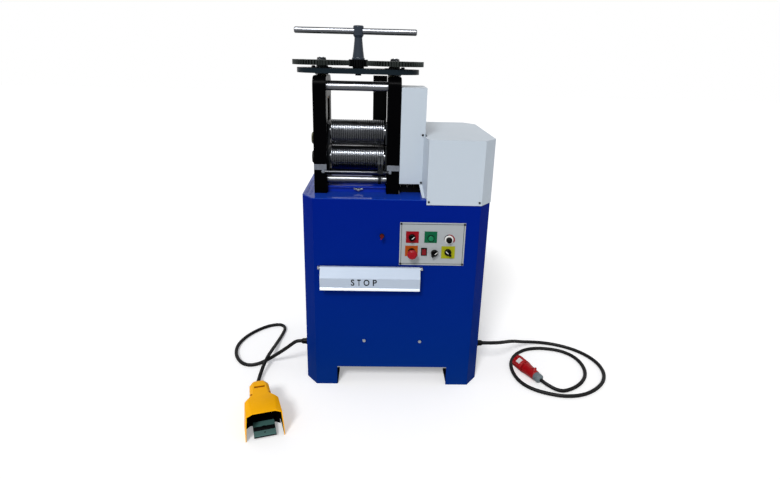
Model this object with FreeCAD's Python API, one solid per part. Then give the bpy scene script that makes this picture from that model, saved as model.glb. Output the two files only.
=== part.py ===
import FreeCAD, Part
import math
import os
from FreeCAD import Vector, Rotation, Placement

# Motor driven rolling mill for jewellers, on a floor cabinet, with a foot switch.
# Millimetres. +X right, +Y to the back, +Z up, floor at Z 0. Everything is drawn with
# X 0 at the middle of the cabinet front and Y 0 on its front sheet, and is moved at the
# end so that the origin is the middle of the floor area of mill and foot switch.

# ---------------------------------------------------------------- driving dimensions
# cabinet
CAB_HALF_WIDTH = 397.0
CAB_DEPTH = 627.0
CAB_HEIGHT = 884.0
CORNER_X = 49.0
CORNER_Y = 65.0
SHEET = 3.0
DECK_T = 4.0
LEG_CUT_TOP = 92.0
FRONT_CUT_X = (-253.0, 248.0)
SIDE_CUT_Y = (130.0, 500.0)
FRONT_BOLTS = ((-131.0, 228.0), (119.0, 226.0))
FOOT_X = 322.0
FOOT_Y = (64.0, 563.0)
ANCHOR_R = 7.0

# mill stand: two cast housings on the deck
MILL_X = -170.0
MILL_Y = 210.0
SCREW_HALF_PITCH = 152.0
HOUSING_W = 54.0
HOUSING_D = 250.0
HOUSING_TOP = 1360.0
HOUSING_TOP_R = 41.0
WINDOW_W = 100.0
WINDOW_TOP = 1275.0
TIE_R = 16.0
TIE_UPPER_Z = 1319.0
TIE_LOWER_Z = 936.0
HOUSING_BOLT_Y = (105.0, 145.0, 275.0, 315.0)
HOUSING_BOLT_R = 8.0

# rolls and their blocks
ROLL_R = 54.0
ROLL_CENTRES = 110.0
UPPER_ROLL_Z = 1126.5
ROLL_HALF_LENGTH = 113.0
JOURNAL_R = 26.0
SHAFT_R = 23.0
BUSH_R = 32.0
BLOCK_HALF = 50.0
GROOVES = 28
GROOVE_DEPTH = 3.0
GROOVE_LAND = 1.4
RUNNING = 0.05
TABLE_TOP = 1064.0
TABLE_T = 6.0
TABLE_BAR_T = 10.0

# roll gears, long teeth
ROLL_GEAR_MODULE = 5.0
ROLL_GEAR_TEETH = 22
ROLL_GEAR_X = (18.0, 68.0)

# screw-down
SCREW_R = 16.0
GEAR_MODULE = 4.0
GEAR_TEETH = 58
PINION_TEETH = 18
GEAR_Z = (1400.0, 1420.0)
BRIDGE_Z = (1369.0, 1389.0)
BRIDGE_END_R = 102.0
HANDLE_TOP = 1555.0
TEE_BAR_R = 12.5
TEE_BAR_LENGTH = 500.0
TEE_BAR_OFFSET = -11.0
TEE_BAR_Z = 1533.0

# covers
GEAR_COVER = (9.0, 112.0, 85.0, 280.0, 930.0, 1322.0)
MOTOR_COVER_X = 121.0
MOTOR_COVER_Z = (863.0, 1130.0)
COVER_SHEET = 2.5
SHAFT_OPENING_R = 34.0
GEARBOX_X = (132.0, 330.0)
GEARBOX_BORE_END = 200.0

# control panel, centres as (X, Z)
PANEL = (15.0, 291.0, 597.0, 787.0)
PANEL_T = 3.0
RED_SELECTOR = (66.5, 722.0)
GREEN_BUTTON = (146.0, 720.0)
SPEED_DIAL = (223.0, 714.0)
EMERGENCY = (67.0, 659.0)
ROCKER = (119.5, 658.5)
BLACK_SELECTOR = (164.0, 653.5)
YELLOW_SELECTOR = (221.0, 658.0)
KEY_LOCK = (-60.0, 726.0)
CONTROL_HOLE_R = 11.2
CONTROL_FACE = -PANEL_T - 1.5
ROCKER_TILT = 7.0
ROCKER_PIN_R = 1.2

# knee bar
STOP_X = (-321.0, 106.0)
STOP_PIVOT = (-12.0, 583.0)
STOP_SECTION = [(-7.0, 589.0), (-20.0, 589.0), (-45.0, 547.0), (-40.0, 492.0), (-22.0, 492.0)]
STOP_T = 2.0

# foot switch: local +X right, -Y to the operator
PEDAL_AT = (-507.0, -379.0)
PEDAL_YAW = 17.5
HOOD_REAR = 244.0
HOOD_T = 3.5
# plan of the hood at four heights: (half width, Y) at front corner, shoulder, waist, lobe, rear
HOOD_PLANS = (
    (0.0, ((77.0, 0.0), (75.0, 106.0), (45.0, 136.0), (43.0, 228.0), (28.0, HOOD_REAR))),
    (60.0, ((73.5, 5.0), (71.0, 106.0), (43.5, 136.0), (41.0, 226.0), (27.0, HOOD_REAR))),
    (108.0, ((70.0, 9.0), (67.0, 106.0), (42.0, 137.0), (39.0, 214.0), (25.0, 238.0))),
    (117.5, ((46.0, 11.0), (55.0, 111.0), (31.0, 140.0), (26.0, 211.0), (18.0, 230.0))))
TREADLE_HALF = 43.5
TREADLE_PIVOT = (150.0, 34.0)

# cords
GLAND_Z = 163.0
GLAND_Y = 103.0
GLAND_LENGTH = 30.0
PEDAL_CORD_R = 8.5
MAINS_CORD_R = 8.5
PEDAL_CORD_ROUTE = [
    (-428, 103, 163), (-446, 103, 163), (-464, 106, 152), (-500, 115, 118), (-550, 140, 70),
    (-602, 167, 22),
    (-646, 145, 9), (-691, 130, 9), (-736, 155, 9), (-776, 222, 9), (-792, 304, 9),
    (-779, 382, 9), (-745, 452, 9), (-700, 508, 9), (-655, 541, 9), (-604, 551, 9),
    (-575, 508, 9), (-580, 440, 9), (-589, 366, 12), (-596, 272, 25), (-602, 174, 42),
    (-610, 104, 36), (-616, 40, 18), (-614, -22, 16), (-605, -67, 25), (-594, -103.5, 36),
    (-587.3, -124.3, 36)]
MAINS_CORD_ROUTE = [
    (428, 103, 163), (484, 104, 162), (544, 152, 140), (610, 238, 98), (678, 312, 52),
    (752, 372, 18), (830, 378, 9), (906, 350, 9), (980, 296, 9), (1030, 214, 9),
    (1040, 118, 9), (1008, 30, 9), (944, -40, 9), (864, -88, 9), (776, -98, 9),
    (704, -76, 9), (650, -47, 9), (612, -6, 9), (592, 45, 9), (585, 115, 9), (597, 186, 9),
    (634, 254, 9), (690, 302, 9), (752, 322, 9), (818, 320, 9), (888, 298, 9), (938, 244, 9),
    (954, 162, 9), (938, 78, 9), (890, 6, 9), (824, -44, 9), (766, -62, 10), (709.3, -26.9, 26),
    (695.5, 2.9, 27)]
PLUG_NUT_END = (695.0, 4.0, 27.0)
PLUG_TIP = (622.0, 162.0, 32.5)

COUNTED_AS_CORD = ("mains_cord", "pedal_cord", "mains_plug")

LOWER_ROLL_Z = UPPER_ROLL_Z - ROLL_CENTRES
SCREW_X = (MILL_X - SCREW_HALF_PITCH, MILL_X + SCREW_HALF_PITCH)
HOUSING_FRONT = MILL_Y - HOUSING_D / 2
HOUSING_BACK = MILL_Y + HOUSING_D / 2
INNER_X = (SCREW_X[0] + HOUSING_W / 2, SCREW_X[1] - HOUSING_W / 2)
OUTER_X = (SCREW_X[0] - HOUSING_W / 2, SCREW_X[1] + HOUSING_W / 2)


# ---------------------------------------------------------------- shape helpers
def box(x0, x1, y0, y1, z0, z1):
    return Part.makeBox(x1 - x0, y1 - y0, z1 - z0, Vector(x0, y0, z0))


def rod_x(x0, x1, y, z, r):
    return Part.makeCylinder(r, x1 - x0, Vector(x0, y, z), Vector(1, 0, 0))


def rod_y(y0, y1, x, z, r):
    return Part.makeCylinder(r, y1 - y0, Vector(x, y0, z), Vector(0, 1, 0))


def rod_z(z0, z1, x, y, r):
    return Part.makeCylinder(r, z1 - z0, Vector(x, y, z0), Vector(0, 0, 1))


def face(points):
    return Part.Face(Part.makePolygon(points + points[:1]))


def prism_x(yz, x0, x1):
    return face([Vector(x0, y, z) for y, z in yz]).extrude(Vector(x1 - x0, 0, 0))


def prism_y(xz, y0, y1):
    return face([Vector(x, y0, z) for x, z in xz]).extrude(Vector(0, y1 - y0, 0))


def prism_z(xy, z0, z1):
    return face([Vector(x, y, z0) for x, y in xy]).extrude(Vector(0, 0, z1 - z0))


def turned(profile, at=(0, 0, 0), towards=(0, 0, 1)):
    """Solid of revolution: profile is (distance along the axis, radius), closed on the axis."""
    points = [Vector(r, 0, along) for along, r in profile]
    points = [Vector(0, 0, profile[0][0])] + points + [Vector(0, 0, profile[-1][0])]
    solid = face(points).revolve(Vector(0, 0, 0), Vector(0, 0, 1), 360)
    solid.Placement = Placement(Vector(*at), Rotation(Vector(0, 0, 1), Vector(*towards)))
    return solid


def ring(outer, inner, length, at, towards):
    start, axis = Vector(*at), Vector(*towards)
    tube = Part.makeCylinder(outer, length, start, axis)
    return tube.cut(Part.makeCylinder(inner, length, start, axis))


def hexagon(across, length, at, towards):
    radius = across / math.sqrt(3)
    corners = [(radius * math.cos(math.radians(60 * k)), radius * math.sin(math.radians(60 * k)))
               for k in range(6)]
    solid = prism_z(corners, 0, length)
    solid.Placement = Placement(Vector(*at), Rotation(Vector(0, 0, 1), Vector(*towards)))
    return solid


def cap_screw(at, towards, head_r, head_h, shank_r, shank_l):
    """Screw with a round head that stands up towards, its shank going the other way."""
    axis = Vector(*towards)
    head = Part.makeCylinder(head_r, head_h, Vector(*at), axis)
    socket = Part.makeCylinder(head_r * 0.5, head_h * 0.5, Vector(*at) + axis * (head_h * 0.5), axis)
    shank = Part.makeCylinder(shank_r, shank_l, Vector(*at), axis * -1)
    return head.cut(socket).fuse(shank)


def cover_screws(spots):
    """One M4 button head screw for every (point on the sheet, outward direction)."""
    return compound([cap_screw(at, towards, 4.5, 3, 2, 2) for at, towards in spots])


def drilled(shape, spots):
    """The shape with a hole for the screw at each spot."""
    holes = [Part.makeCylinder(2.05, 8, Vector(*at) - Vector(*towards) * 4, Vector(*towards))
             for at, towards in spots]
    return shape.cut(compound(holes))


def sheet_section(points, thickness):
    """Closed outline of a bent sheet whose outer side runs along points, as (Y, Z)."""
    inner = []
    for k, (y, z) in enumerate(points):
        normals = []
        for a, b in ((k - 1, k), (k, k + 1)):
            if a >= 0 and b < len(points):
                dy, dz = points[b][0] - points[a][0], points[b][1] - points[a][1]
                run = math.hypot(dy, dz)
                normals.append((-dz / run, dy / run))
        ny = sum(n[0] for n in normals) / len(normals)
        nz = sum(n[1] for n in normals) / len(normals)
        scale = thickness / (ny * ny + nz * nz)
        inner.append((y + ny * scale, z + nz * scale))
    return points + inner[::-1]


def compound(solids):
    return Part.makeCompound(solids)


# ---------------------------------------------------------------- gears
def tooth_half_angle(radius, pitch_r, teeth, backlash):
    """Half the angle of an involute tooth at a radius, 20 degree pressure angle."""
    base_r = pitch_r * math.cos(math.radians(20))
    at_pitch = math.pi / (2 * teeth) - backlash / (2 * pitch_r)

    def involute(r):
        t = math.sqrt(max(r * r / (base_r * base_r) - 1, 0.0))
        return t - math.atan(t)

    return at_pitch + involute(pitch_r) - involute(radius)


def spur_gear(module, teeth, width, first_tooth, addendum, dedendum, backlash, bore):
    """Gear on the Z axis, from Z 0 up, with the middle of a tooth at the angle first_tooth."""
    pitch_r = module * teeth / 2
    stations = (pitch_r - dedendum, pitch_r, pitch_r + addendum)
    flank = [(r, tooth_half_angle(r, pitch_r, teeth, backlash)) for r in stations]
    points = []
    for k in range(teeth):
        middle = math.radians(first_tooth) + 2 * math.pi * k / teeth
        for r, half in flank:
            points.append((r * math.cos(middle - half), r * math.sin(middle - half)))
        for r, half in reversed(flank):
            points.append((r * math.cos(middle + half), r * math.sin(middle + half)))
    blank = prism_z(points, 0, width)
    return blank.cut(rod_z(-1, width + 1, 0, 0, bore))


# ---------------------------------------------------------------- cabinet
def cabinet_outline(grow=0.0):
    """Plan of the cabinet with its four cut corners, grown outwards all round."""
    hx, depth = CAB_HALF_WIDTH, CAB_DEPTH
    points = [(-hx + CORNER_X, 0), (hx - CORNER_X, 0), (hx, CORNER_Y), (hx, depth - CORNER_Y),
              (hx - CORNER_X, depth), (-hx + CORNER_X, depth), (-hx, depth - CORNER_Y), (-hx, CORNER_Y)]
    wire = Part.makePolygon([Vector(x, y, 0) for x, y in points + points[:1]])
    if grow:
        wire = wire.makeOffset2D(grow, 2)
    return wire


def cabinet_prism(grow, z0, z1):
    solid = Part.Face(cabinet_outline(grow)).extrude(Vector(0, 0, z1 - z0))
    solid.translate(Vector(0, 0, z0))
    return solid


def cabinet():
    top = CAB_HEIGHT - DECK_T
    shell = cabinet_prism(0, 0, top).cut(cabinet_prism(-SHEET, -1, top + 1))
    legs = [box(FRONT_CUT_X[0], FRONT_CUT_X[1], -1, CAB_DEPTH + 1, -1, LEG_CUT_TOP),
            box(-CAB_HALF_WIDTH - 1, CAB_HALF_WIDTH + 1, SIDE_CUT_Y[0], SIDE_CUT_Y[1], -1, LEG_CUT_TOP)]
    panel_hole = box(PANEL[0] + 12, PANEL[1] - 12, -1, SHEET + 1, PANEL[2] + 12, PANEL[3] - 12)
    rear_hole = box(-250, 250, CAB_DEPTH - SHEET - 1, CAB_DEPTH + 1, 190, 770)
    lock_hole = rod_y(-1, SHEET + 1, KEY_LOCK[0], KEY_LOCK[1], 9.1)
    bolt_holes = [rod_y(-1, SHEET + 1, x, z, 5.1) for x, z in FRONT_BOLTS]
    cord_holes = [rod_x(s - 5, s + 5, GLAND_Y, GLAND_Z, 12.1)
                  for s in (-CAB_HALF_WIDTH, CAB_HALF_WIDTH)]
    shell = shell.cut(compound(legs + [panel_hole, rear_hole, lock_hole] + bolt_holes + cord_holes))
    return {"cabinet_shell": shell, "deck_plate": deck(), "base_shelf": base_shelf(),
            "foot_plates": foot_plates(), "bed_rails": bed_rails(),
            "rear_panel": rear_panel(), "rear_panel_screws": cover_screws(rear_panel_spots()),
            "front_bolts": front_bolts(), "inverter_box": inverter_box()}


def slanted_slot(x, y, length, width, z0, z1):
    slot = box(-length / 2, length / 2, -width / 2, width / 2, z0, z1)
    slot.Placement = Placement(Vector(x, y, 0), Rotation(Vector(0, 0, 1), 35))
    return slot


def deck():
    plate = cabinet_prism(0, CAB_HEIGHT - DECK_T, CAB_HEIGHT)
    vents = [slanted_slot(x, 60 + 24 * k, 15, 5, CAB_HEIGHT - DECK_T - 1, CAB_HEIGHT + 1)
             for x in (-382, -363) for k in range(12)]
    bolts = [rod_z(CAB_HEIGHT - DECK_T - 1, CAB_HEIGHT + 1, x, y, HOUSING_BOLT_R + RUNNING)
             for x in SCREW_X for y in HOUSING_BOLT_Y]
    return plate.cut(compound(vents + bolts))


def base_shelf():
    return cabinet_prism(-SHEET, LEG_CUT_TOP, LEG_CUT_TOP + SHEET)


def foot_plates():
    """Anchor plates in the four legs, flush with the floor, each with one bolt hole."""
    inside = cabinet_prism(-SHEET, 0, 8)
    plates = []
    for x in (-FOOT_X, FOOT_X):
        for y in FOOT_Y:
            plate = box(x - 72, x + 72, y - 62, y + 62, 0, 8).common(inside)
            plates.append(plate.cut(rod_z(-1, 9, x, y, ANCHOR_R)))
    return compound(plates)


def bed_rails():
    """Tubes under the deck that the housings are bolted to."""
    rails = []
    for x in SCREW_X:
        rail = box(x - 30, x + 30, 20, 600, 820, CAB_HEIGHT - DECK_T)
        rail = rail.cut(box(x - 26, x + 26, 19, 601, 824, CAB_HEIGHT - DECK_T - 4))
        holes = [rod_z(819, CAB_HEIGHT, x, y, HOUSING_BOLT_R + RUNNING) for y in HOUSING_BOLT_Y]
        rails.append(rail.cut(compound(holes)))
    return compound(rails)


def rear_panel():
    y = CAB_DEPTH
    plate = box(-275, 275, y, y + 2, 165, 795)
    louvres = [box(x - 35, x + 35, y - 1, y + 3, 680 + 14 * k, 685 + 14 * k)
               for x in (-130, 0, 130) for k in range(6)]
    hoods = [prism_x([(y + 2, 687 + 14 * k), (y + 7, 681 + 14 * k), (y + 7, 680 + 14 * k),
                      (y + 2, 685 + 14 * k)], x - 37, x + 37)
             for x in (-130, 0, 130) for k in range(6)]
    return drilled(plate.cut(compound(louvres)).fuse(hoods), rear_panel_spots())


def rear_panel_spots():
    return [((x, CAB_DEPTH + 2, z), (0, 1, 0)) for x in (-262, 262) for z in (180, 480, 780)]


def front_bolts():
    bolts = []
    for x, z in FRONT_BOLTS:
        bolt = hexagon(13, 5, (x, 0, z), (0, -1, 0)).fuse(rod_y(-1, SHEET, x, z, 5.0))
        bolts.append(bolt)
    return compound(bolts)


def inverter_box():
    case = box(-215, 20, SHEET, 150, 150, 470)
    fins = [box(-205 + 16 * k, -199 + 16 * k, 150, 170, 170, 450) for k in range(14)]
    return case.fuse(fins)


# ---------------------------------------------------------------- mill stand
def housing_side():
    """Side view of one housing: straight foot, round top corners."""
    y0, y1, top, r = HOUSING_FRONT, HOUSING_BACK, HOUSING_TOP, HOUSING_TOP_R
    k = r * (1 - math.sqrt(0.5))
    front = Part.Arc(Vector(0, y0, top - r), Vector(0, y0 + k, top - k), Vector(0, y0 + r, top))
    back = Part.Arc(Vector(0, y1 - r, top), Vector(0, y1 - k, top - k), Vector(0, y1, top - r))
    edges = [Part.LineSegment(Vector(0, y0, CAB_HEIGHT), Vector(0, y0, top - r)), front,
             Part.LineSegment(Vector(0, y0 + r, top), Vector(0, y1 - r, top)), back,
             Part.LineSegment(Vector(0, y1, top - r), Vector(0, y1, CAB_HEIGHT)),
             Part.LineSegment(Vector(0, y1, CAB_HEIGHT), Vector(0, y0, CAB_HEIGHT))]
    return Part.Face(Part.Wire([edge.toShape() for edge in edges]))


def housing(screw_x):
    x0 = screw_x - HOUSING_W / 2
    body = housing_side().extrude(Vector(HOUSING_W, 0, 0))
    rim = [edge for edge in body.Edges if not is_straight_along(edge, Vector(1, 0, 0))
           and edge.BoundBox.ZMax > CAB_HEIGHT + 1]
    body = body.makeFillet(3.0, rim)
    body.translate(Vector(x0, 0, 0))
    window = box(x0 - 1, x0 + HOUSING_W + 1, MILL_Y - WINDOW_W / 2, MILL_Y + WINDOW_W / 2,
                 LOWER_ROLL_Z - BLOCK_HALF, WINDOW_TOP)
    nut_bore = rod_z(WINDOW_TOP - 1, HOUSING_TOP + 1, screw_x, MILL_Y, 23)
    ties = [rod_x(x0 - 1, x0 + HOUSING_W + 1, y, z, 10) for y, z in tie_rod_places()]
    heads = [rod_x(a, b, y, z, 17) for y, z in tie_rod_places()
             for a, b in [tie_head_span(screw_x)]]
    taps = [rod_z(CAB_HEIGHT - 1, CAB_HEIGHT + 40, screw_x, y, HOUSING_BOLT_R + RUNNING)
            for y in HOUSING_BOLT_Y]
    cup = rod_z(HOUSING_TOP - 12, HOUSING_TOP + 1, oil_cup_x(screw_x), MILL_Y - 62, 5)
    return body.cut(compound([window, nut_bore, cup] + ties + heads + taps))


def is_straight_along(edge, direction):
    ends = edge.Vertexes
    if len(ends) != 2 or edge.Curve.TypeId != "Part::GeomLine":
        return False
    run = ends[1].Point.sub(ends[0].Point)
    return run.cross(direction).Length < 1e-6


def tie_rod_places():
    near = HOUSING_FRONT + HOUSING_TOP_R
    far = HOUSING_BACK - HOUSING_TOP_R
    return [(y, z) for y in (near, far) for z in (TIE_UPPER_Z, TIE_LOWER_Z)]


def tie_head_span(screw_x):
    """Depth of the counterbore for a tie rod screw, on the outer side of a housing."""
    if screw_x < MILL_X:
        return OUTER_X[0] - 1, OUTER_X[0] + 9
    return OUTER_X[1] - 9, OUTER_X[1] + 1


def tie_rods(z):
    rods = []
    for y, rod_z_place in tie_rod_places():
        if rod_z_place == z:
            middle = rod_x(INNER_X[0], INNER_X[1], y, z, TIE_R)
            spigot = rod_x(INNER_X[0] - 30, INNER_X[1] + 30, y, z, 10)
            rods.append(middle.fuse(spigot))
    return compound(rods)


def tie_rod_screws():
    screws = []
    for y, z in tie_rod_places():
        screws.append(cap_screw((OUTER_X[0] + 9, y, z), (-1, 0, 0), 16, 8, 9.9, 15))
        screws.append(cap_screw((OUTER_X[1] - 9, y, z), (1, 0, 0), 16, 8, 9.9, 15))
    return compound(screws)


def housing_bolts():
    bolts = []
    for x in SCREW_X:
        for y in HOUSING_BOLT_Y:
            shank = rod_z(820, CAB_HEIGHT + 36, x, y, HOUSING_BOLT_R)
            bolts.append(hexagon(24, 10, (x, y, 810), (0, 0, 1)).fuse(shank))
    return compound(bolts)


def oil_cup_x(screw_x):
    return screw_x + (14 if screw_x < MILL_X else -14)


def oil_cups():
    """Screwed lubricators on top of the housings."""
    profile = [(-12, 4.95), (0, 4.95), (0, 8), (1, 9), (3.5, 9), (4.5, 6.5), (5.5, 3)]
    return compound([turned(profile, (oil_cup_x(x), MILL_Y - 62, HOUSING_TOP)) for x in SCREW_X])


def screw_nuts():
    """Bronze nuts that the pressure screws turn in, flanged against the window top."""
    nuts = []
    for x in SCREW_X:
        body = rod_z(WINDOW_TOP, HOUSING_TOP - 1, x, MILL_Y, 22.99)
        flange = rod_z(WINDOW_TOP - 8, WINDOW_TOP, x, MILL_Y, 26)
        nuts.append(body.fuse(flange).cut(rod_z(WINDOW_TOP - 9, HOUSING_TOP, x, MILL_Y, SCREW_R + 0.06)))
    return compound(nuts)


def bearing_block(screw_x, z0, z1, shaft_z, pocket_z):
    """Block that fills the window's width, with a flange inside and bores for two springs."""
    half = WINDOW_W / 2 - 0.1
    x0, x1 = screw_x - HOUSING_W / 2, screw_x + HOUSING_W / 2
    body = box(x0, x1, MILL_Y - half, MILL_Y + half, z0, z1)
    side = x1 + 0.3 if screw_x < MILL_X else x0 - 6.3
    flange = box(side, side + 6, MILL_Y - half - 8, MILL_Y + half + 8, z0 + 6, z1 - 6)
    link = box(x0 - 0.3, x1 + 0.3, MILL_Y - half, MILL_Y + half, z0 + 6, z1 - 6)
    bore = rod_x(x0 - 10, x1 + 10, MILL_Y, shaft_z, BUSH_R)
    pockets = [rod_z(pocket_z, pocket_z + 22, screw_x, MILL_Y + s, 10) for s in (-34, 34)]
    return body.fuse([link, flange]).cut(compound([bore] + pockets))


def bearing_bushes(shaft_z):
    bushes = []
    for x in SCREW_X:
        start = (x - HOUSING_W / 2 - 3, MILL_Y, shaft_z)
        bushes.append(ring(BUSH_R, JOURNAL_R + RUNNING, HOUSING_W + 6, start, (1, 0, 0)))
    return compound(bushes)


def bearings():
    low, high = LOWER_ROLL_Z, UPPER_ROLL_Z
    lower = [bearing_block(x, low - BLOCK_HALF, low + BLOCK_HALF, low, low + BLOCK_HALF - 22)
             for x in SCREW_X]
    upper = [bearing_block(x, high - BLOCK_HALF, high + BLOCK_HALF - 5, high, high - BLOCK_HALF)
             for x in SCREW_X]
    springs = [ring(9, 4, 54, (x, MILL_Y + s, low + BLOCK_HALF - 22), (0, 0, 1))
               for x in SCREW_X for s in (-34, 34)]
    return {"lower_bearing_blocks": compound(lower), "upper_bearing_blocks": compound(upper),
            "lower_bushes": bearing_bushes(low), "upper_bushes": bearing_bushes(high),
            "lift_springs": compound(springs)}


def roll_profile(right_end):
    """Radius along the axis: journal, grooved barrel, journal, stepped drive end."""
    left, right = MILL_X - ROLL_HALF_LENGTH, MILL_X + ROLL_HALF_LENGTH
    profile = [(OUTER_X[0] - 3, JOURNAL_R), (left, JOURNAL_R), (left, ROLL_R - 1.5), (left + 1.5, ROLL_R)]
    pitch = (2 * ROLL_HALF_LENGTH - 6) / GROOVES
    for k in range(GROOVES):
        start = left + 3 + pitch * k
        profile.append((start + GROOVE_LAND / 2, ROLL_R))
        profile.append((start + pitch / 2, ROLL_R - GROOVE_DEPTH))
        profile.append((start + pitch - GROOVE_LAND / 2, ROLL_R))
    profile += [(right - 1.5, ROLL_R), (right, ROLL_R - 1.5), (right, JOURNAL_R),
                (OUTER_X[1] + 3, JOURNAL_R), (OUTER_X[1] + 3, SHAFT_R), (right_end, SHAFT_R)]
    return profile


def roll(z, right_end):
    return turned(roll_profile(right_end), (0, MILL_Y, z), (1, 0, 0))


def roll_gear(z, first_tooth):
    width = ROLL_GEAR_X[1] - ROLL_GEAR_X[0]
    gear = spur_gear(ROLL_GEAR_MODULE, ROLL_GEAR_TEETH, width, first_tooth, 5.5, 8.0, 1.5, SHAFT_R)
    gear.rotate(Vector(0, 0, 0), Vector(0, 1, 0), 90)
    gear.translate(Vector(ROLL_GEAR_X[0], MILL_Y, z))
    return gear


def rolls():
    """After the turn onto the X axis, angle 0 of a gear points down and 180 points up."""
    half_tooth = 180.0 / ROLL_GEAR_TEETH
    return {"lower_roll": roll(LOWER_ROLL_Z, GEARBOX_BORE_END), "upper_roll": roll(UPPER_ROLL_Z, 74.0),
            "lower_roll_gear": roll_gear(LOWER_ROLL_Z, 180.0),
            "upper_roll_gear": roll_gear(UPPER_ROLL_Z, half_tooth)}


def guide_parts():
    """Rest bar in front of the rolls: bare pads, a thin rod in two lugs and a wire guide."""
    front = HOUSING_FRONT
    pads = [box(x - 26, x + 26, front - 3, front, 984, 1007) for x in SCREW_X]
    lugs = []
    for x in (INNER_X[0] - 14, INNER_X[1] + 14):
        lug = box(x - 5, x + 5, front - 14, front, 973.5, 984)
        lugs.append(lug.cut(rod_x(x - 6, x + 6, front - 9, 979, 4)))
    rod = rod_x(INNER_X[0] - 21, INNER_X[1] + 21, front - 9, 979, 4)
    collar = ring(TIE_R + 2.5, TIE_R, 12, (-80, HOUSING_FRONT + HOUSING_TOP_R, TIE_LOWER_Z), (1, 0, 0))
    return {"rest_pads": compound(pads), "guide_lugs": compound(lugs), "guide_rod": rod,
            "tie_rod_collar": collar, "wire_guide": wire_guide()}


def wire_guide():
    """Block that slides on the thin rod, with two prongs that rise towards the rolls."""
    front = HOUSING_FRONT
    block = box(-82, -60, front - 17, front - 1, 973, 988)
    blade = box(-82, -60, front - 1, front + 5, 973, 1010)
    nose = prism_x([(front + 5, 1001), (front + 5, 1010), (front + 35, 1040), (front + 39, 1034)], -82, -60)
    slot = box(-73, -69, front - 2, front + 60, 994, 1041)
    guide = block.fuse([blade, nose]).cut(rod_x(-83, -59, front - 9, 979, 4 + RUNNING))
    return guide.cut(slot)


def exit_table():
    """Plate behind the rolls that carries the metal out, on a bar across the housings."""
    back, top, under = HOUSING_BACK + TABLE_BAR_T, TABLE_TOP, TABLE_TOP - TABLE_T
    section = [(MILL_Y + 27.5, top), (back, top), (back, under), (MILL_Y + 36, under)]
    plate = prism_x(section, INNER_X[0] + 9, INNER_X[1] - 9)
    bar = box(SCREW_X[0] - 20, SCREW_X[1] + 20, HOUSING_BACK, back, under - 28, under)
    plate_spots = [((x, back - 5, top), (0, 0, 1)) for x in (-262, -170, -78)]
    bar_spots = [((x, back, under - 14), (0, 1, 0)) for x in (SCREW_X[0], SCREW_X[1])]
    screws = [cap_screw(at, towards, 4, 2.5, 2, TABLE_T - 0.5) for at, towards in plate_spots]
    screws += [cap_screw(at, towards, 8, 6, 4, TABLE_BAR_T - 0.5) for at, towards in bar_spots]
    plate_holes = [Part.makeCylinder(2.05, 8, Vector(*at) - Vector(0, 0, 7), Vector(0, 0, 1))
                   for at, _ in plate_spots]
    bar_holes = [rod_y(HOUSING_BACK - 1, back + 1, at[0], at[2], 4.05) for at, _ in bar_spots]
    return {"exit_plate": plate.cut(compound(plate_holes)), "exit_bar": bar.cut(compound(bar_holes)),
            "exit_screws": compound(screws)}


def drip_tray():
    """Open tray between the housings, with a rolled front lip."""
    x0, x1, y0, y1, z0 = INNER_X[0] + 2, INNER_X[1] - 2, 118, 318, CAB_HEIGHT
    outer = box(x0, x1, y0, y1, z0, z0 + 26)
    tray = outer.cut(box(x0 + 2, x1 - 2, y0 + 2, y1 - 2, z0 + 2, z0 + 27))
    lip = prism_x([(y0, z0 + 26), (y0 - 9, z0 + 22), (y0 - 9, z0 + 20), (y0, z0 + 24)], x0, x1)
    return tray.fuse(lip).cut(rod_y(y0 - 12, y0 + 3, MILL_X + 6, z0 + 11, 3.05))


def wing_screw():
    """Winged thumb screw that clamps the tray at the front."""
    x, y, z = MILL_X + 6, 118, CAB_HEIGHT + 11
    shank = rod_y(y - 10, y + 12, x, z, 3)
    hub = turned([(0, 7), (3, 7), (10, 5)], (x, y - 2, z), (0, -1, 0))
    wings = [prism_y([(x, z - 3), (x + s * 20, z + 1), (x + s * 20, z + 8), (x, z + 3)], y - 9, y - 6)
             for s in (-1, 1)]
    return shank.fuse([hub] + wings)


def stand_details():
    left, right = OUTER_X
    cap = turned([(0, 28), (12, 28), (16, 24)], (left - 3, MILL_Y, LOWER_ROLL_Z), (-1, 0, 0))
    grease = turned([(0, 25), (7, 25), (11, 20)], (left, MILL_Y - 75, 1109), (-1, 0, 0))
    y0 = HOUSING_BACK + TABLE_BAR_T
    post = box(-108, -46, y0, y0 + 40, CAB_HEIGHT, HOUSING_TOP - 3)
    post = post.cut(box(-104, -50, y0 + 4, y0 + 36, CAB_HEIGHT - 1, HOUSING_TOP - 7))
    return {"roll_end_cap": cap, "grease_cup": grease, "rear_post": post}


def mill_stand():
    parts = {"housing_left": housing(SCREW_X[0]), "housing_right": housing(SCREW_X[1]),
             "upper_tie_rods": tie_rods(TIE_UPPER_Z), "lower_tie_rods": tie_rods(TIE_LOWER_Z),
             "tie_rod_screws": tie_rod_screws(), "housing_bolts": housing_bolts(),
             "oil_cups": oil_cups(), "screw_nuts": screw_nuts(),
             "drip_tray": drip_tray(), "tray_screw": wing_screw()}
    parts.update(bearings())
    parts.update(rolls())
    parts.update(guide_parts())
    parts.update(exit_table())
    parts.update(stand_details())
    return parts


# ---------------------------------------------------------------- screw-down
def pressure_screw(x):
    """Screw with a ball end on the block, a collar under the bridge and a plain top."""
    block_top = UPPER_ROLL_Z + BLOCK_HALF - 5
    profile = [(block_top + 0.3, 6), (block_top + 5, 13), (block_top + 8, SCREW_R), (1362, SCREW_R),
               (1362, 28), (1368.5, 28), (1368.5, SCREW_R), (GEAR_Z[1], SCREW_R), (GEAR_Z[1], 12),
               (GEAR_Z[1] + 10, 12), (GEAR_Z[1] + 11, 11)]
    return turned(profile, (x, MILL_Y, 0))


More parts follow.
